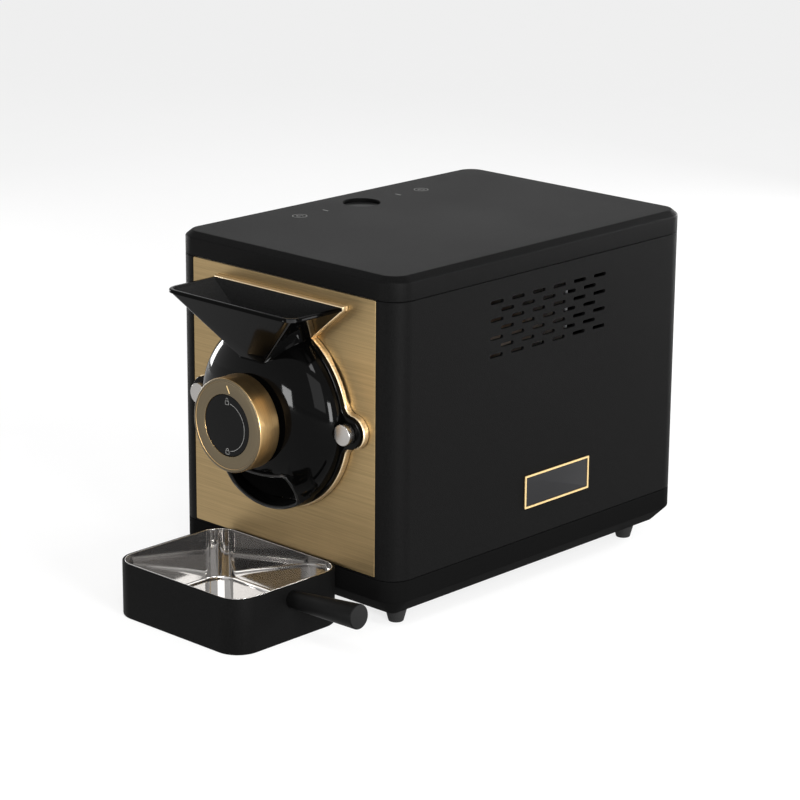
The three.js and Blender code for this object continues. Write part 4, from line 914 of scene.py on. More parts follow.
class ROASTER_OT_casing(Operator):
    """Build the casing, the lid and the base"""

    bl_idname = "roaster.casing"
    bl_label = "Casing"

    def execute(self, context):
        made = finishes()
        edge = context.scene.roaster_edges
        ease = edge.casing_edge / MM
        wall = [(ease, CASING_LOW_Z), (0, CASING_LOW_Z + ease),
                (0, CASING_TOP_Z - ease), (ease, CASING_TOP_Z)]
        casing = body_tower(wall).made("casing")
        top = CASING_TOP_Z + OVERRUN
        window = block((-WINDOW_HALF, -OVERRUN, WINDOW_Z), (WINDOW_HALF, DEPTH + OVERRUN, top))
        inner = body_tower([(CASING_WALL, CASING_LOW_Z - OVERRUN), (CASING_WALL, top)])
        cut(casing, inner, window, slots(), slots().mirrored())
        tabs = Form()
        for side in (1, -1):
            for z in REAR_SCREW_Z:
                tab = block(
                    (TAB_X[0], TAB_Y[0], z - TAB_HALF_Z), (TAB_X[1], TAB_Y[1], z + TAB_HALF_Z))
                tabs.joined(tab if side > 0 else tab.mirrored())
        tabs = tabs.made("tabs")
        inset = CASING_WALL / 2
        shaped(tabs, "INTERSECT", body_tower([(inset, CASING_LOW_Z), (inset, CASING_TOP_Z)]))
        shaped(casing, "UNION", tabs)
        finished(casing, "housing", "sand_black", made["sand_black"], "casing_shell")

        rim = edge.lid_edge / MM
        lid = body_tower(eased([
            (1.0, LID_Z, 0), (0, LID_Z, ease), (0, LID_CHAMFER_Z, rim),
            (LID_CHAMFER, TOP_Z, rim), (LID_CHAMFER + 3, TOP_Z, 0)], closed=False)).made("lid")
        under = [(LID_WALL, LID_Z - OVERRUN), (LID_WALL, TOP_Z - LID_WALL)]
        hole = [(0, TOP_Z - 6), (BUTTON_HOLE, TOP_Z - 6), (BUTTON_HOLE, TOP_Z - 0.5),
                (BUTTON_HOLE + 0.5, TOP_Z), (BUTTON_HOLE + 1, TOP_Z + 0.5), (0, TOP_Z + 0.5)]
        cut(lid, body_tower(under), spun(hole, "z", BUTTON_AT, 72))
        finished(lid, "housing", "sand_black", made["sand_black"], "top_cover")

        base = body_tower(eased([
            (BASE_CHAMFER + 2, BASE_TIP_Z, 0), (BASE_CHAMFER, BASE_TIP_Z, BASE_TIP_EASE),
            (0, BASE_Z, BASE_EDGE_EASE), (0, BASE_TOP_Z, ease), (2, BASE_TOP_Z, 0)],
            closed=False)).made("base")
        well = [(HALF_WIDTH - BASE_LEDGE, HALF_DEPTH - BASE_LEDGE, WELL_CORNER, z)
                for z in (BASE_FLOOR_Z, BASE_TOP_Z + OVERRUN)]
        cut(base, tower(well, MIDDLE))
        bosses = Form()
        for x in BOSS_X:
            for y in BOSS_Y:
                bosses.joined(rod(BOSS_RADIUS, BASE_FLOOR_Z - 1, BOSS_TOP_Z, "z", (x, y), 24))
        shaped(base, "UNION", bosses)
        finished(base, "housing", "soft_black", made["base_black"], "base_pan")
        return {"FINISHED"}


class ROASTER_OT_front_panel(Operator):
    """Build the brushed front panel and the trim under the cover"""

    bl_idname = "roaster.front_panel"
    bl_label = "Front panel"

    def execute(self, context):
        made = finishes()
        outline = round_box(PANEL_HALF_X, PANEL_HALF_Z, PANEL_CORNER, (0, PANEL_MIDDLE_Z), 4)
        rings = [
            [(x * (1 - d / PANEL_HALF_X), y,
              PANEL_MIDDLE_Z + (z - PANEL_MIDDLE_Z) * (1 - d / PANEL_HALF_Z)) for x, z in outline]
            for d, y in ((PANEL_EASE, 0.0), (0.0, PANEL_EASE), (0.0, PANEL_DEPTH))
        ]
        panel = Form().rings(rings).made("gold_panel")
        places = ((PANEL_BORE, 0, 96), (SCREW_HOLE, EAR_REACH, 24), (SCREW_HOLE, -EAR_REACH, 24))
        cut(panel, *[rod(r, -1, PANEL_DEPTH + 1, "y", (x, AXIS_Z), n) for r, x, n in places])
        finished(panel, "housing", "brushed_gold", made["brushed_gold"], "front_panel")

        trim = layered(cover_outline, TRIM_FLANK).made("trim")
        shaped(trim, "UNION", layered(funnel_outline, TRIM_FLANK))
        steps = context.scene.roaster_edges.curve_steps
        bore = rod(DOME_RADIUS - DOME_WALL, -6, 1, steps=steps)
        cut(trim, bore, *[rod(SCREW_HOLE, -6, 1, "y", (x, AXIS_Z), 24) for x in (EAR_REACH, -EAR_REACH)])
        finished(trim, "cover", "satin_gold", made["trim_gold"], "trim_plate", angle=50)
        return {"FINISHED"}
def layered(outline, levels):
    """An outline round the cover's axis, run through levels of (growth, y)."""
    return Form().rings([[(x, y, z + AXIS_Z) for x, z in outline(grow)] for grow, y in levels])


def cover_outline(grow, spacing=3.0):
    """The rim's front outline: a circle with an ear on each side, joined by concave fillets."""
    rim, ear, fillet = COVER_RADIUS + grow, EAR_RADIUS + grow, EAR_FILLET - grow
    to_rim, to_ear = rim + fillet, ear + fillet
    fx = (to_rim ** 2 - to_ear ** 2 + EAR_REACH ** 2) / (2 * EAR_REACH)
    fz = math.sqrt(to_rim ** 2 - fx ** 2)
    at_rim = math.degrees(math.atan2(fz, fx))
    at_ear = math.degrees(math.atan2(fz, fx - EAR_REACH))

    def run(centre, radius, start, end):
        steps = max(4, round(abs(end - start) / spacing * math.sqrt(radius / 30)))
        return arc(centre, radius, start, end, steps)[:-1]

    return [
        *run((fx, fz), fillet, 180 + at_rim, 180 + at_ear),
        *run((EAR_REACH, 0), ear, at_ear, -at_ear),
        *run((fx, -fz), fillet, 180 - at_ear, 180 - at_rim),
        *run((0, 0), rim, -at_rim, at_rim - 180),
        *run((-fx, -fz), fillet, at_rim, at_ear),
        *run((-EAR_REACH, 0), ear, 180 + at_ear, 180 - at_ear),
        *run((-fx, fz), fillet, -at_ear, -at_rim),
        *run((0, 0), rim, 180 - at_rim, at_rim),
    ]


def funnel_outline(grow):
    """The outline of the trim behind the hopper."""
    low = HOPPER_TOP - HOPPER_BAND
    slope = (low - THROAT_LOW) / (HOPPER_HALF - THROAT_HALF)
    half, top, level = HOPPER_HALF + grow, HOPPER_TOP + grow, low - grow * slope / 2
    return [(-half, top), (-half, level), (-THROAT_HALF, THROAT_LOW), (THROAT_HALF, THROAT_LOW),
            (half, level), (half, top)]


def dome_profile(inset, steps=30):
    """From the rim to the middle of the dome's front: a rounded power curve."""
    radius, height = DOME_RADIUS - inset, DOME_HEIGHT - inset
    path = []
    for k in range(steps + 1):
        angle = k / steps * math.pi / 2
        across = radius * max(math.cos(angle), 0) ** (2 / DOME_POWER)
        out = height * math.sin(angle) ** (2 / DOME_POWER)
        path.append((across if k < steps else 0, COVER_FRONT - out))
    return path


def dome_form(inset, back, steps, rings=30):
    path = [(0, back), (DOME_RADIUS - inset, back), *dome_profile(inset, rings)]
    return spun(path, "y", AXIS, steps)


def span(radius, half, y, drop=None, steps=24):
    """Points on an arc under the axis, as wide as asked, whose middle lies a drop below it."""
    reach = math.degrees(math.asin(half / radius))
    middle = AXIS_Z + (radius - drop if drop else 0)
    return [(x, y, z) for x, z in arc((0, middle), radius, -90 - reach, -90 + reach, steps)]


def spout_form(inset):
    """The discharge spout's body under the knob."""
    root = math.sqrt(DOME_RADIUS ** 2 - SPOUT_ROOT_HALF ** 2) - inset
    rim = COVER_FRONT + inset
    half, depth, drop = SHOULDER
    shoulders = [
        point
        for side in (-1, 1)
        for point in (
            (side * (half - inset), inset - depth, AXIS_Z - drop),
            (side * (SPOUT_ROOT_HALF - inset), rim, AXIS_Z - root),
        )
    ]
    return hull([
        *shoulders,
        *span(BROW_RADIUS, BROW_HALF - inset, inset - BROW_DEPTH, BROW_DROP),
        *span(LIP_RADIUS - inset, LIP_HALF - inset, -LIP_DEPTH, LIP_DROP - inset),
        *span(COVER_RADIUS - inset, LIP_HALF, rim),
    ])


def spout_mouth():
    """What the mouth cuts away, along the plane from its brow to its lip."""
    drop = BROW_DROP + SPOUT_WALL
    brow = span(BROW_RADIUS, BROW_HALF - SPOUT_WALL, -BROW_DEPTH, drop)
    lip = span(LIP_RADIUS - SPOUT_WALL, LIP_HALF - SPOUT_WALL, -LIP_DEPTH, LIP_DROP - SPOUT_WALL)
    fall = LIP_DROP - SPOUT_WALL - drop
    lean = Vector((0, -fall, LIP_DEPTH - BROW_DEPTH)).normalized() * MOUTH_REACH
    points = []
    for point in (*brow, *lip):
        points += [Vector(point) + lean, Vector(point) - lean]
    return hull([p[:] for p in points])


def mouth_line():
    """The closed line along the middle of the spout's brow, sides and lip."""
    half = SPOUT_WALL / 2
    brow = span(BROW_RADIUS, BROW_HALF - half, half - BROW_DEPTH, BROW_DROP + half)
    lip = span(LIP_RADIUS - half, LIP_HALF - half, -LIP_DEPTH, LIP_DROP - half)
    return eased_loop([Vector(p) for p in (*brow, *lip[::-1])])


def eased_loop(points, rounds=2):
    """A closed line with its corners drawn in."""
    for _ in range(rounds):
        points = [
            point * 0.5 + (points[i - 1] + points[(i + 1) % len(points)]) * 0.25
            for i, point in enumerate(points)
        ]
    return points


def rimmed(thing, loop, radius, material):
    """Gives the faces that lie along a closed line a finish of their own."""
    parts = 6
    spots = [loop[i - 1].lerp(point, k / parts) for i, point in enumerate(loop) for k in range(parts)]
    near = KDTree(len(spots))
    for i, spot in enumerate(spots):
        near.insert(in_frame(*spot), i)
    near.balance()
    tinted(thing, material, lambda face: near.find(face.center)[2] < radius * MM)


def tube(loop, radius, steps=10):
    """A round bar along a closed line of points."""
    rings = []
    for i, point in enumerate(loop):
        along = (loop[(i + 1) % len(loop)] - loop[i - 1]).normalized()
        side = along.cross(Vector((0, 0.9, 0.42))).normalized()
        up = side.cross(along)
        turns = [2 * math.pi * k / steps for k in range(steps)]
        rings.append([(point + (side * math.cos(a) + up * math.sin(a)) * radius)[:] for a in turns])
    return Form().rings(rings, looped=True)


def funnel_ring(half, depth, back, z, radius, steps=10):
    """One level of the hopper: square at the back and round-cornered in front."""
    def corner(side):
        return [
            (side * (half - radius + radius * math.sin(a)),
             -(depth - radius + radius * math.cos(a)), z + AXIS_Z)
            for a in [math.pi / 2 * k / steps for k in range(steps + 1)]
        ]
    return [(-half, back, z + AXIS_Z), (half, back, z + AXIS_Z), *corner(1)[::-1], *corner(-1)]


def funnel_form(inset):
    """The hopper's body, or with an inset its hollow, whose rear wall thins toward the rim."""
    throat, rim = HOPPER_BACK - inset, HOPPER_BACK - (HOPPER_REAR_LIP if inset else 0)
    half, depth, corner = HOPPER_HALF - inset, HOPPER_DEPTH - inset, HOPPER_CORNER - inset / 2

    def level(z, step=0.0, ease=0.0):
        return (half - step, depth - step, rim, z, corner - ease)

    foot = (THROAT_HALF - inset, THROAT_DEPTH - inset, throat, THROAT_LOW, THROAT_CORNER)
    if inset:
        levels = [foot, level(HOLLOW_TOP), level(74.4), level(74.9, -0.5), level(76, -0.5)]
    else:
        head = level(HOPPER_BAND_LOW, HOPPER_BAND_STEP, HOPPER_BAND_STEP)
        between = [[a + (b - a) * share for a, b in zip(foot, head)] for share in (0.02, 0.99)]
        levels = [foot, *between, head, level(HOPPER_BAND_LOW + 0.2), level(74.2),
                  level(74.6, 0.25), level(HOPPER_TOP, 0.6)]
    return Form().rings([funnel_ring(*row) for row in levels])


def in_hollow(face):
    """Whether a face lies in the hopper's hollow, with a little to spare."""
    x, y, z = ((at - origin) / MM for at, origin in zip(face.center, in_frame(0, 0, AXIS_Z)))
    rise = min(max((z - THROAT_LOW) / (HOLLOW_TOP - THROAT_LOW), 0.0), 1.0)
    spare = 1.2 - HOPPER_WALL
    half = THROAT_HALF + spare + (HOPPER_HALF - THROAT_HALF) * rise
    depth = THROAT_DEPTH + spare + (HOPPER_DEPTH - THROAT_DEPTH) * rise
    return abs(x) < half and -depth < y < -4.7 and z < 74.6


def within_dome(point):
    """Whether a point in the frame's millimetres lies inside the dome."""
    around = math.hypot(point.x, point.z - AXIS_Z) / DOME_RADIUS
    rise = max(COVER_FRONT - point.y, 0) / DOME_HEIGHT
    return around ** DOME_POWER + rise ** DOME_POWER < 1


def seam_bead(radius, parts=6):
    """A fine round bead where the hopper's outside comes out of the dome."""
    step = HOPPER_BAND_STEP
    low = [Vector(p) for p in funnel_ring(
        THROAT_HALF, THROAT_DEPTH, HOPPER_BACK, THROAT_LOW, THROAT_CORNER)]
    high = [Vector(p) for p in funnel_ring(
        HOPPER_HALF - step, HOPPER_DEPTH - step, HOPPER_BACK, HOPPER_BAND_LOW, HOPPER_CORNER - step)]
    loop = []
    for i in range(len(low)):
        for share in (k / parts for k in range(parts)):
            near = low[i - 1].lerp(low[i], share)
            far = high[i - 1].lerp(high[i], share)
            for _ in range(20):
                middle = (near + far) / 2
                near, far = (middle, far) if within_dome(middle) else (near, middle)
            loop.append(near)
    return tube(loop, radius, 8)


class ROASTER_OT_cover(Operator):
    """Build the domed cover with its spout, and the hopper above it"""

    bl_idname = "roaster.cover"
    bl_label = "Cover and hopper"

    def execute(self, context):
        made = finishes()
        steps = context.scene.roaster_edges.curve_steps
        dome = layered(cover_outline, RIM_LEVELS).made("dome")
        shaped(dome, "UNION", dome_form(0, HOPPER_BACK - 0.2, steps), spout_form(0))
        front = COVER_FRONT - DOME_HEIGHT
        pocket = [(0, front), (SCREW_POCKET, front), (SCREW_POCKET, COVER_FRONT),
                  (SCREW_HOLE, COVER_FRONT), (SCREW_HOLE, 0), (0, 0)]
        cut(
            dome,
            dome_form(DOME_WALL, -3.0, 96, 16),
            spout_form(SPOUT_WALL),
            spout_mouth(),
            funnel_form(HOPPER_WALL),
            block((-CHANNEL_HALF_X, CHANNEL_FRONT, AXIS_Z - CHANNEL_HALF_Z),
                  (CHANNEL_HALF_X, 0, AXIS_Z + CHANNEL_HALF_Z)),
            rod(SLEEVE_BORE, -40, 0, steps=48),
            *[spun(pocket, "y", (x, AXIS_Z), 64) for x in (EAR_REACH, -EAR_REACH)],
        )
        outline = [(y, AXIS_Z + rise) for y, rise in SHELF]
        shelf = plate(outline, -COVER_RADIUS, COVER_RADIUS, "x").made("shelf")
        shaped(shelf, "INTERSECT", dome_form(DOME_WALL / 2, HOPPER_BACK - 0.2, 96, 16))
        cut(shelf, rod(SLEEVE_BORE, -40, 0, steps=48))
        mouth, bead = mouth_line(), SPOUT_WALL / 2 + 0.3
        shaped(dome, "UNION", shelf, tube(mouth, bead))
        finished(dome, "cover", "gloss_black", made["gloss_black"], "dome_cover", angle=28)
        rimmed(dome, mouth, bead + 0.15, made["rim_black"])

        hopper = funnel_form(0).made("hopper")
        cut(
            hopper,
            funnel_form(HOPPER_WALL),
            dome_form(-GAP, COVER_BACK, steps),
            rod(COVER_RADIUS + GAP, COVER_FRONT - GAP, 0, steps=steps),
        )
        shaped(hopper, "UNION", seam_bead(SEAM_RADIUS))
        finished(hopper, "cover", "gloss_black", made["hopper_black"], "bean_hopper", angle=40)
        # The hollow's faces take the matt coat, whose colour is lifted as painted light for the shade
        # inside.
        tinted(hopper, made["inside_black"], in_hollow)
        return {"FINISHED"}


class ROASTER_OT_knob(Operator):
    """Build the turning knob, its fixed cap and their marks"""

    bl_idname = "roaster.knob"
    bl_label = "Knob"

    def execute(self, context):
        made = finishes()
        edge = context.scene.roaster_edges
        steps = edge.curve_steps
        ring = spun(eased([
            (KNOB_RADIUS, KNOB_REAR, 0.5), (KNOB_RADIUS, KNOB_FRONT, edge.knob_edge / MM),
            (27.0, KNOB_FRONT, 0.1), (26.8, KNOB_FRONT + 0.25, 0), (26.5, KNOB_FRONT + 0.25, 0),
            (26.3, FACE_FRONT - FACE_SINK, 0.1), (KNOB_WELL, FACE_FRONT - FACE_SINK, 0.25),
            (KNOB_WELL, KNOB_WELL_REAR, 0), (KNOB_INNER, KNOB_WELL_REAR, 0),
            (KNOB_INNER, KNOB_INNER_REAR, 0), (KNOB_HUB, KNOB_INNER_REAR, 0), (KNOB_HUB, KNOB_REAR, 0),
        ]), "y", AXIS, steps).made("knob")
        finished(ring, "knob", "satin_gold", made["satin_gold"], "knob_ring", angle=40)
        limit = in_frame(0, FACE_FRONT, 0)[1]
        tinted(ring, made["face_gold"], lambda face: face.normal.y < -0.7 and face.center.y < limit)

        inner, outer = CAP_SOCKET
        cap = spun(eased([
            (0, CAP_FRONT, 0), (CAP_RADIUS, CAP_FRONT, 0.35), (CAP_RADIUS, CAP_REAR, 0),
            (outer, CAP_REAR, 0), (outer, CAP_SOCKET_REAR, 0), (inner, CAP_SOCKET_REAR, 0),
            (inner, CAP_SOCKET_FRONT, 0), (0, CAP_SOCKET_FRONT, 0)], closed=False), "y", AXIS, steps)
        finished(cap.made("cap"), "cover", "soft_black", made["cap_black"], "knob_cap", angle=40)

        face_at = FACE_FRONT - FACE_SINK
        line = ribbon([(0.3, AXIS_Z + 24.8), (2.7, AXIS_Z + 20.4)], 0.75,
                      face_at - 0.06, face_at + 0.1)
        finished(line.made("index_line"), "knob", "satin_gold", made["gold_mark"])

        marks = Form()
        front, back = CAP_FRONT - 0.05, CAP_FRONT + 0.1
        marks.joined(ribbon(arc((0, AXIS_Z - 0.7), SWEEP_RADIUS, 79, -79, 40), 0.3, front, back))
        for x, z, lift in PADLOCKS:
            box = round_box(1.45, 1.1, 0.35, (x, AXIS_Z + z), 4)
            marks.joined(ribbon(box, PADLOCK_WIDTH, front, back, closed=True))
            shackle = [(x - 0.9, AXIS_Z + z + 1.2 + lift), *[
                (x + u, AXIS_Z + z + 1.5 + lift + v) for u, v in arc((0, 0), 0.9, 180, 0, 10)]]
            shackle.append((x + 0.9, AXIS_Z + z + 1.2))
            marks.joined(ribbon(shackle, PADLOCK_WIDTH, front, back))
        finished(marks.made("cap_marks"), "cover", "soft_black", made["marks"])
        return {"FINISHED"}


class ROASTER_OT_screws(Operator):
    """Build the thumb screws in the cover's ears"""

    bl_idname = "roaster.screws"
    bl_label = "Thumb screws"

    def execute(self, context):
        made = finishes()
        for side, name in ((1, "right"), (-1, "left")):
            path = eased([
                (0, SCREW_FRONT, 0), (SCREW_HEAD, SCREW_FRONT, 0.35), (SCREW_HEAD, SCREW_SEAT, 0.3),
                (SCREW_SHANK, SCREW_SEAT, 0.2), (SCREW_SHANK, SCREW_END - 0.4, 0),
                (SCREW_SHANK - 0.4, SCREW_END, 0), (0, SCREW_END, 0)], closed=False)
            screw = spun(path, "y", (side * EAR_REACH, AXIS_Z), 64).made(f"ear_screw_{name}")
            steel = made["satin_steel" if side > 0 else "satin_steel_left"]
            finished(screw, f"screw_{name}", "satin_steel", steel, f"thumb_screw_{name}", angle=40)
        return {"FINISHED"}


class ROASTER_OT_lid_controls(Operator):
    """Build the button in the lid and the touch marks beside it"""

    bl_idname = "roaster.lid_controls"
    bl_label = "Lid controls"

    def execute(self, context):
        made = finishes()
        top = TOP_Z - BUTTON_SINK
        path = [(0, BUTTON_LOW_Z), (BUTTON_FLANGE, BUTTON_LOW_Z), (BUTTON_FLANGE, BUTTON_LEDGE_Z),
                (BUTTON_RADIUS, BUTTON_LEDGE_Z)]
        path += eased([
            (BUTTON_RADIUS, BUTTON_LEDGE_Z, 0), (BUTTON_RADIUS, top, 0.4), (10.8, top, 0.2),
            (9.6, top - 0.35, 1.0), (0, top - 0.45, 0)], closed=False)[1:]
        button = spun(path, "z", BUTTON_AT, 72).made("button")
        finished(button, "button", "gloss_black", made["cap_black"], "start_button", angle=40)

        flat = {"low": TOP_Z - 0.05, "high": TOP_Z + 0.03, "axis": "z"}
        marks = Form()
        for y in (BEAN_Y, POWER_Y):
            ring = arc((LID_MARK_X, y), LID_RING, 0, 360, 40)[:-1]
            marks.joined(ribbon(ring, LID_MARK_WIDTH, closed=True, **flat))
        for y in DASH_Y:
            ends = [(LID_MARK_X - DASH_HALF, y), (LID_MARK_X + DASH_HALF, y)]
            marks.joined(ribbon(ends, DASH_WIDTH, **flat))
        bean = arc((LID_MARK_X, BEAN_Y), BEAN_RADIUS, 30, 330, 18)
        sign = arc((LID_MARK_X, POWER_Y), POWER_RADIUS, -60, 240, 20)
        stroke = [(LID_MARK_X, POWER_Y - 2.7), (LID_MARK_X, POWER_Y - 0.3)]
        marks.joined(ribbon(bean, LID_MARK_WIDTH, **flat))
        marks.joined(ribbon(sign, POWER_WIDTH, **flat), ribbon(stroke, POWER_WIDTH, **flat))
        finished(marks.made("lid_marks"), "housing", "sand_black", made["marks"])
        return {"FINISHED"}


class ROASTER_OT_badge(Operator):
    """Build the small plate on the right side, left bare"""

    bl_idname = "roaster.badge"
    bl_label = "Badge"

    def execute(self, context):
        made = finishes()
        half_y, half_z = BADGE_HALF
        inner_y, inner_z = half_y - BADGE_BORDER, half_z - BADGE_BORDER
        outer = round_box(half_y, half_z, 0.5, BADGE_AT, 4)
        inner = round_box(inner_y, inner_z, 0.3, BADGE_AT, 4)
        rings = [[(w, y, z) for y, z in outline] for outline, w in (
            (outer, BADGE_BACK), (outer, BADGE_FRONT), (inner, BADGE_FRONT), (inner, BADGE_BACK))]
        surround = Form().rings(rings, ends=False, looped=True).made("badge_surround")
        finished(surround, "housing", "satin_gold", made["gold_mark"], "badge_frame")
        outline = round_box(inner_y - BADGE_GAP, inner_z - BADGE_GAP, 0.3, BADGE_AT, 4)
        field = softened(plate(outline, BADGE_BACK, BADGE_FIELD_FRONT, "x").made("badge_field"), 0.1)
        finished(field, "housing", "grey_plate", made["grey_plate"], "badge_plate")
        return {"FINISHED"}


class ROASTER_OT_feet(Operator):
    """Build the four tapered feet"""

    bl_idname = "roaster.feet"
    bl_label = "Feet"

    def execute(self, context):
        made = finishes()
        for fore, y in FOOT_Y:
            for side, x in (("left", -FOOT_X), ("right", FOOT_X)):
                path = eased([(0, 0, 0), (FOOT_TIP, 0, 0.5), (FOOT_RADIUS, FOOT_HEIGHT, 0.3),
                              (0, FOOT_HEIGHT, 0)], closed=False)
                foot = spun(path, "z", (x, y), 48).made(f"foot_{fore}_{side}_pad")
                finished(foot, "housing", "rubber", made["rubber"], f"foot_{fore}_{side}", angle=40)
        return {"FINISHED"}


class ROASTER_OT_tray(Operator):
    """Build the receiving tray, its liner and its handle"""

    bl_idname = "roaster.tray"
    bl_label = "Tray"

    def execute(self, context):
        made = finishes()
        middle = (0, TRAY_MIDDLE_Y)
        wall = TRAY_WALL
        path = eased([(4, 0, 0), (0, 0, 1.2), (0, TRAY_HEIGHT, 0.5), (wall, TRAY_HEIGHT, 0.3),
                      (wall, wall, 1.0), (6, wall, 0)], closed=False)
        shell = tower(inset_levels(TRAY_HALF_X, TRAY_HALF_Y, TRAY_CORNER, path), middle, 18).made("tray")
        hole = rod(HANDLE_HOLE, 50, 57, "x", (TRAY_MIDDLE_Y, HANDLE_Z), 32)
        cut(shell, hole)
        finished(shell, "tray", "sand_black", made["sand_black"], "tray_shell", angle=40)

        outer, inner = wall + LINER_GAP, wall + LINER_INNER
        path = eased([(8, outer, 0), (outer, outer, 2.4), (outer, TRAY_HEIGHT, 0.15),
                      (inner, TRAY_HEIGHT, 0.15), (inner, inner, 2.0), (9, inner, 0)], closed=False)
        liner = tower(inset_levels(TRAY_HALF_X, TRAY_HALF_Y, TRAY_CORNER, path), middle, 18)
        finished(liner.made("liner"), "tray", "mirror_steel", made["mirror_steel"], "tray_liner", angle=40)

        tilt = math.radians(HANDLE_TILT)
        start = 0.3 + math.sin(tilt) * HANDLE_ROOT
        sunk = math.sin(tilt) * HANDLE_END_LEVEL
        length = (HANDLE_REACH - TRAY_HALF_X - start - sunk) / math.cos(tilt)
        path = eased([
            (0, -start - 0.9, 0), (HANDLE_SPIGOT, -start - 0.9, 0.2), (HANDLE_SPIGOT, 0, 0),
            (HANDLE_ROOT, 0, 0.4), (HANDLE_END, length - 0.1, 0.9), (0, length, 0)], closed=False)
        handle = spun(path, "x", (0, 0), 64)
        handle.turned(-HANDLE_TILT, "Y").moved(TRAY_HALF_X + start, TRAY_MIDDLE_Y, HANDLE_Z)
        grip = handle.made("handle")
        finished(grip, "tray", "soft_black", made["soft_black"], "tray_handle", angle=40)
        # Painted light: the end face, which faces the lamp at the right, takes a lighter copy of the
        # handle's black.
        tinted(grip, made["rod_end"], lambda face: face.normal.x > 0.97)
        return {"FINISHED"}


class ROASTER_OT_rear(Operator):
    """Build the rear fan, inlet, switch and screws; the rear panel keeps its own form"""

    bl_idname = "roaster.rear"
    bl_label = "Rear"

    def execute(self, context):
        made = finishes()
        dressed = (
            ("fan_frame", "fan_surround", 0.4, "housing", "soft_black", "soft_black"),
            ("fan_rotor", "fan_wheel", 0.3, "fan", "soft_black", "soft_black"),
            ("power_inlet", "inlet", 0.35, "housing", "soft_black", "soft_black"),
            ("switch_housing", "switch_frame", 0.3, "housing", "soft_black", "soft_black"),
            ("switch_rocker", "switch_paddle", 0.3, "rocker", "gloss_black", "gloss_black"),
        )
        for node, name, width, body, slot, finish in dressed:
            finished(copied(node, name, width), body, slot, made[finish], node)
        places = [(x, z) for z in REAR_SCREW_Z for x in (-REAR_SCREW_X, REAR_SCREW_X)]
        back, shank, head = REAR_PANEL_BACK + GAP, REAR_SCREW_SHANK, REAR_SCREW_HEAD
        for i, (x, z) in enumerate(places):
            tip = back - REAR_SCREW_LENGTH
            path = eased([
                (0, tip, 0), (shank, tip, 0.2), (shank, back, 0), (head, back, 0.15),
                (head - 0.3, back + 1.1, 0.5), (1.6, back + 1.6, 1.0), (0, back + 1.6, 0)],
                closed=False)
            screw = spun(path, "y", (x, z), 40).made(f"back_screw_{i + 1}")
            cross = [block((x - a, back + 0.7, z - b), (x + a, back + 3, z + b))
                     for a, b in ((CROSS_ARM, CROSS_HALF), (CROSS_HALF, CROSS_ARM))]
            cut(screw, *cross)
            finished(screw, "housing", "plain_steel", made["plain_steel"], f"rear_screw_{i + 1}", angle=40)
        return {"FINISHED"}


class ROASTER_OT_inside(Operator):
    """Give the pieces inside the roaster their finishes"""

    bl_idname = "roaster.inside"
    bl_label = "Inside"

    def execute(self, context):
        made = finishes()
        slots_of = {entry["node"]: entry["material_slot"] for entry in frame["record"]["subparts"]}
        for node, thing in frame["nodes"].items():
            if thing.hide_render:
                continue
            # The shutter behind the spout's mouth gets a darker black than its own slot, as painted shade
            # in the opening.
            material = made["mouth_black" if node == "shutter_disc" else slots_of[node]]
            if not thing.material_slots:
                thing.data.materials.append(material)
            for place in thing.material_slots:
                place.material = material
        return {"FINISHED"}


class ROASTER_OT_stage(Operator):
    """Build the pale floor, the studio lamps and the camera"""

    bl_idname = "roaster.stage"
    bl_label = "Stage"

    def execute(self, context):
        light = context.scene.roaster_light
        half = FLOOR_HALF
        corners = [(-half, -half, 0), (half, -half, 0), (half, half, 0), (-half, half, 0)]
        ground = Form().add(corners, [[0, 1, 2, 3]]).made("floor")
        ground.data.materials.append(floor_finish())
        pale_world(light.ambient)
        # Each lamp's width, height, azimuth from the front toward the right, elevation, distance
        lamps = (
            ("lamp_above", light.above, 0.25, 0.25, 45, 52, 1.2),
            ("lamp_near", light.near, 0.70, 0.70, 38, 20, 1.2),
            ("lamp_front", light.front, 0.18, 0.20, -15, 0, 1.2),
            ("lamp_right", light.right, 0.32, 0.42, 74, 6, 1.2),
            ("lamp_left", light.left, 0.30, 0.24, -95, 1.5, 1.2),
            ("lamp_behind", light.behind, 0.80, 0.30, -137, 24, 1.6),
            ("lamp_rear", light.rear, 0.60, 0.30, 176, 7, 1.2),
            ("lamp_rear_right", light.rear_right, 0.15, 0.30, 128, 8, 1.0),
        )
        aim = Vector(in_frame(0, 0, AXIS_Z))
        for name, power, width, height, azimuth, elevation, distance in lamps:
            data = bpy.data.lights.new(name, "AREA")
            data.shape = "RECTANGLE"
            data.size, data.size_y = width, height
            data.energy = power
            lamp = bpy.data.objects.new(name, data)
            across, up = math.radians(azimuth), math.radians(elevation)
            back = Vector((
                math.sin(across) * math.cos(up), -math.cos(across) * math.cos(up), math.sin(up)))
            lamp.location = aim + back * distance
            lamp.rotation_mode = "QUATERNION"
            lamp.rotation_quaternion = back.to_track_quat("Z", "Y")
            context.scene.collection.objects.link(lamp)
        photo_camera()
        context.scene.view_settings.view_transform = "Standard"
        return {"FINISHED"}


def seen_share(recipe):
    """1 on rays that should meet a white background: straight, mirrored or through glass."""
    path = recipe.node("ShaderNodeLightPath")
    rays = [Wire(recipe, path.socket.node.outputs[name])
            for name in ("Is Camera Ray", "Is Glossy Ray", "Is Transmission Ray")]
    total = rays[0] + rays[1] + rays[2]
    return recipe.node("ShaderNodeMath", {"operation": "MINIMUM"}, {0: total, 1: 1.0})


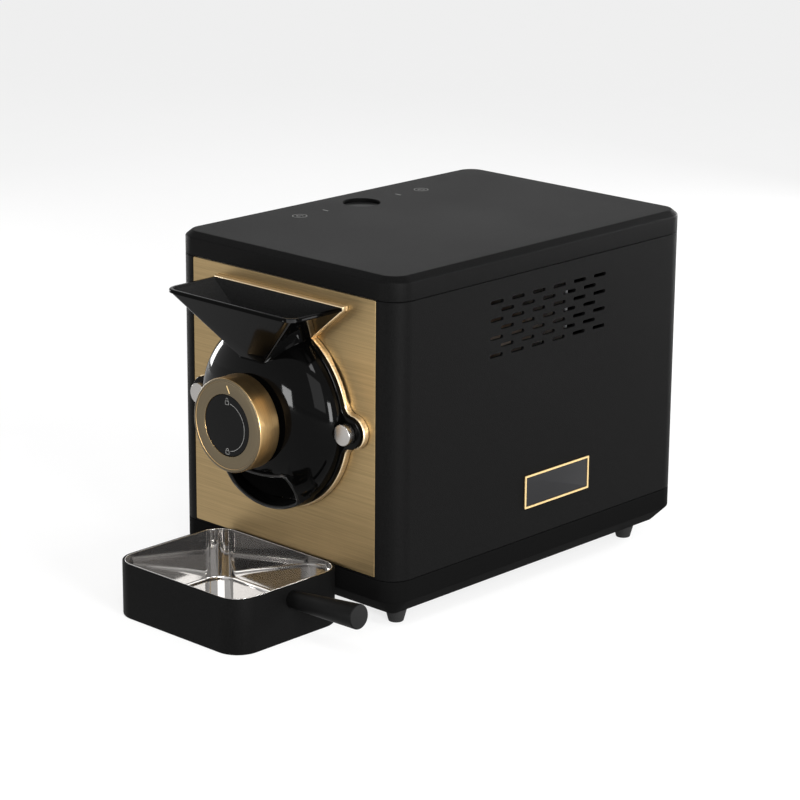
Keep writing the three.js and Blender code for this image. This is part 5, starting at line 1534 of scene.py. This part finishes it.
def floor_finish():
    """A pale floor that keeps soft shadows and meets the white surroundings without an edge."""
    r = Recipe("pale_floor")
    grain = r.noise(r.place(), 30.0, 3.0, 0.5)
    base = r.node(
        "ShaderNodeBsdfDiffuse", None, {"Color": r.mix(grain, (0.26, 0.26, 0.26), (0.28, 0.28, 0.28))})
    glow = r.node(
        "ShaderNodeEmission", None, {"Color": (1, 1, 1, 1), "Strength": seen_share(r) * 0.76})
    both = r.node("ShaderNodeAddShader", None, {0: base, 1: glow})
    r.node("ShaderNodeOutputMaterial", None, {"Surface": both})
    return r.material


def pale_world(ambient):
    """White to the eye and to mirrors, and dimmer as a source of light."""
    world = bpy.context.scene.world or bpy.data.worlds.new("surroundings")
    bpy.context.scene.world = world
    world.use_nodes = True
    r = Recipe.__new__(Recipe)
    r.material, r.tree = world, world.node_tree
    r.tree.nodes.clear()
    share = seen_share(r)
    strength = share * (1.0 - ambient) + ambient
    back = r.node("ShaderNodeBackground", None, {"Color": (1, 1, 1, 1), "Strength": strength})
    r.node("ShaderNodeOutputWorld", None, {"Surface": back})


def photo_camera():
    """The camera at the photograph's place, turned by its three angles."""
    azimuth, elevation, roll = map(math.radians, CAMERA_ANGLES)
    back = Vector((
        math.sin(azimuth) * math.cos(elevation),
        -math.cos(azimuth) * math.cos(elevation),
        math.sin(elevation),
    ))
    right = (-back).cross(Vector((0, 0, 1))).normalized()
    up = back.cross(right)
    across = right * math.cos(roll) + up * math.sin(roll)
    upward = up * math.cos(roll) - right * math.sin(roll)
    data = bpy.data.cameras.new("camera")
    data.lens = CAMERA_LENS
    data.sensor_width = SENSOR_WIDTH
    data.clip_start, data.clip_end = 0.05, 50.0
    camera = bpy.data.objects.new("camera", data)
    camera.matrix_world = Matrix((
        (across.x, upward.x, back.x, CAMERA_AT[0] + ORIGIN_X),
        (across.y, upward.y, back.y, CAMERA_AT[1] + ORIGIN_Y),
        (across.z, upward.z, back.z, CAMERA_AT[2]),
        (0, 0, 0, 1),
    ))
    bpy.context.scene.collection.objects.link(camera)
    bpy.context.scene.camera = camera


PIECES = (
    ROASTER_OT_casing,
    ROASTER_OT_front_panel,
    ROASTER_OT_cover,
    ROASTER_OT_knob,
    ROASTER_OT_screws,
    ROASTER_OT_lid_controls,
    ROASTER_OT_badge,
    ROASTER_OT_feet,
    ROASTER_OT_tray,
    ROASTER_OT_rear,
    ROASTER_OT_inside,
    ROASTER_OT_stage,
)
GROUPS = {
    "roaster_finishes": RoasterFinishes,
    "roaster_edges": RoasterEdges,
    "roaster_light": RoasterLight,
}


class ROASTER_PT_pieces(Panel):
    """Lists the roaster's pieces, sizes and colours"""

    bl_idname = "ROASTER_PT_pieces"
    bl_label = "Roaster"
    bl_space_type = "VIEW_3D"
    bl_region_type = "UI"
    bl_category = "Roaster"

    def draw(self, context):
        for operator in PIECES:
            self.layout.operator(operator.bl_idname)
        for name, kind in GROUPS.items():
            box = self.layout.box()
            for key in kind.__annotations__:
                box.prop(getattr(context.scene, name), key)


def register():
    for kind in (*GROUPS.values(), *PIECES, ROASTER_PT_pieces):
        bpy.utils.register_class(kind)
    for name, kind in GROUPS.items():
        setattr(bpy.types.Scene, name, PointerProperty(type=kind))


def unregister():
    for name in GROUPS:
        delattr(bpy.types.Scene, name)
    for kind in reversed((*GROUPS.values(), *PIECES, ROASTER_PT_pieces)):
        bpy.utils.unregister_class(kind)


def main():
    register()
    for operator in PIECES:
        group, name = operator.bl_idname.split(".")
        getattr(getattr(bpy.ops, group), name)()


if __name__ == "__main__":
    main()
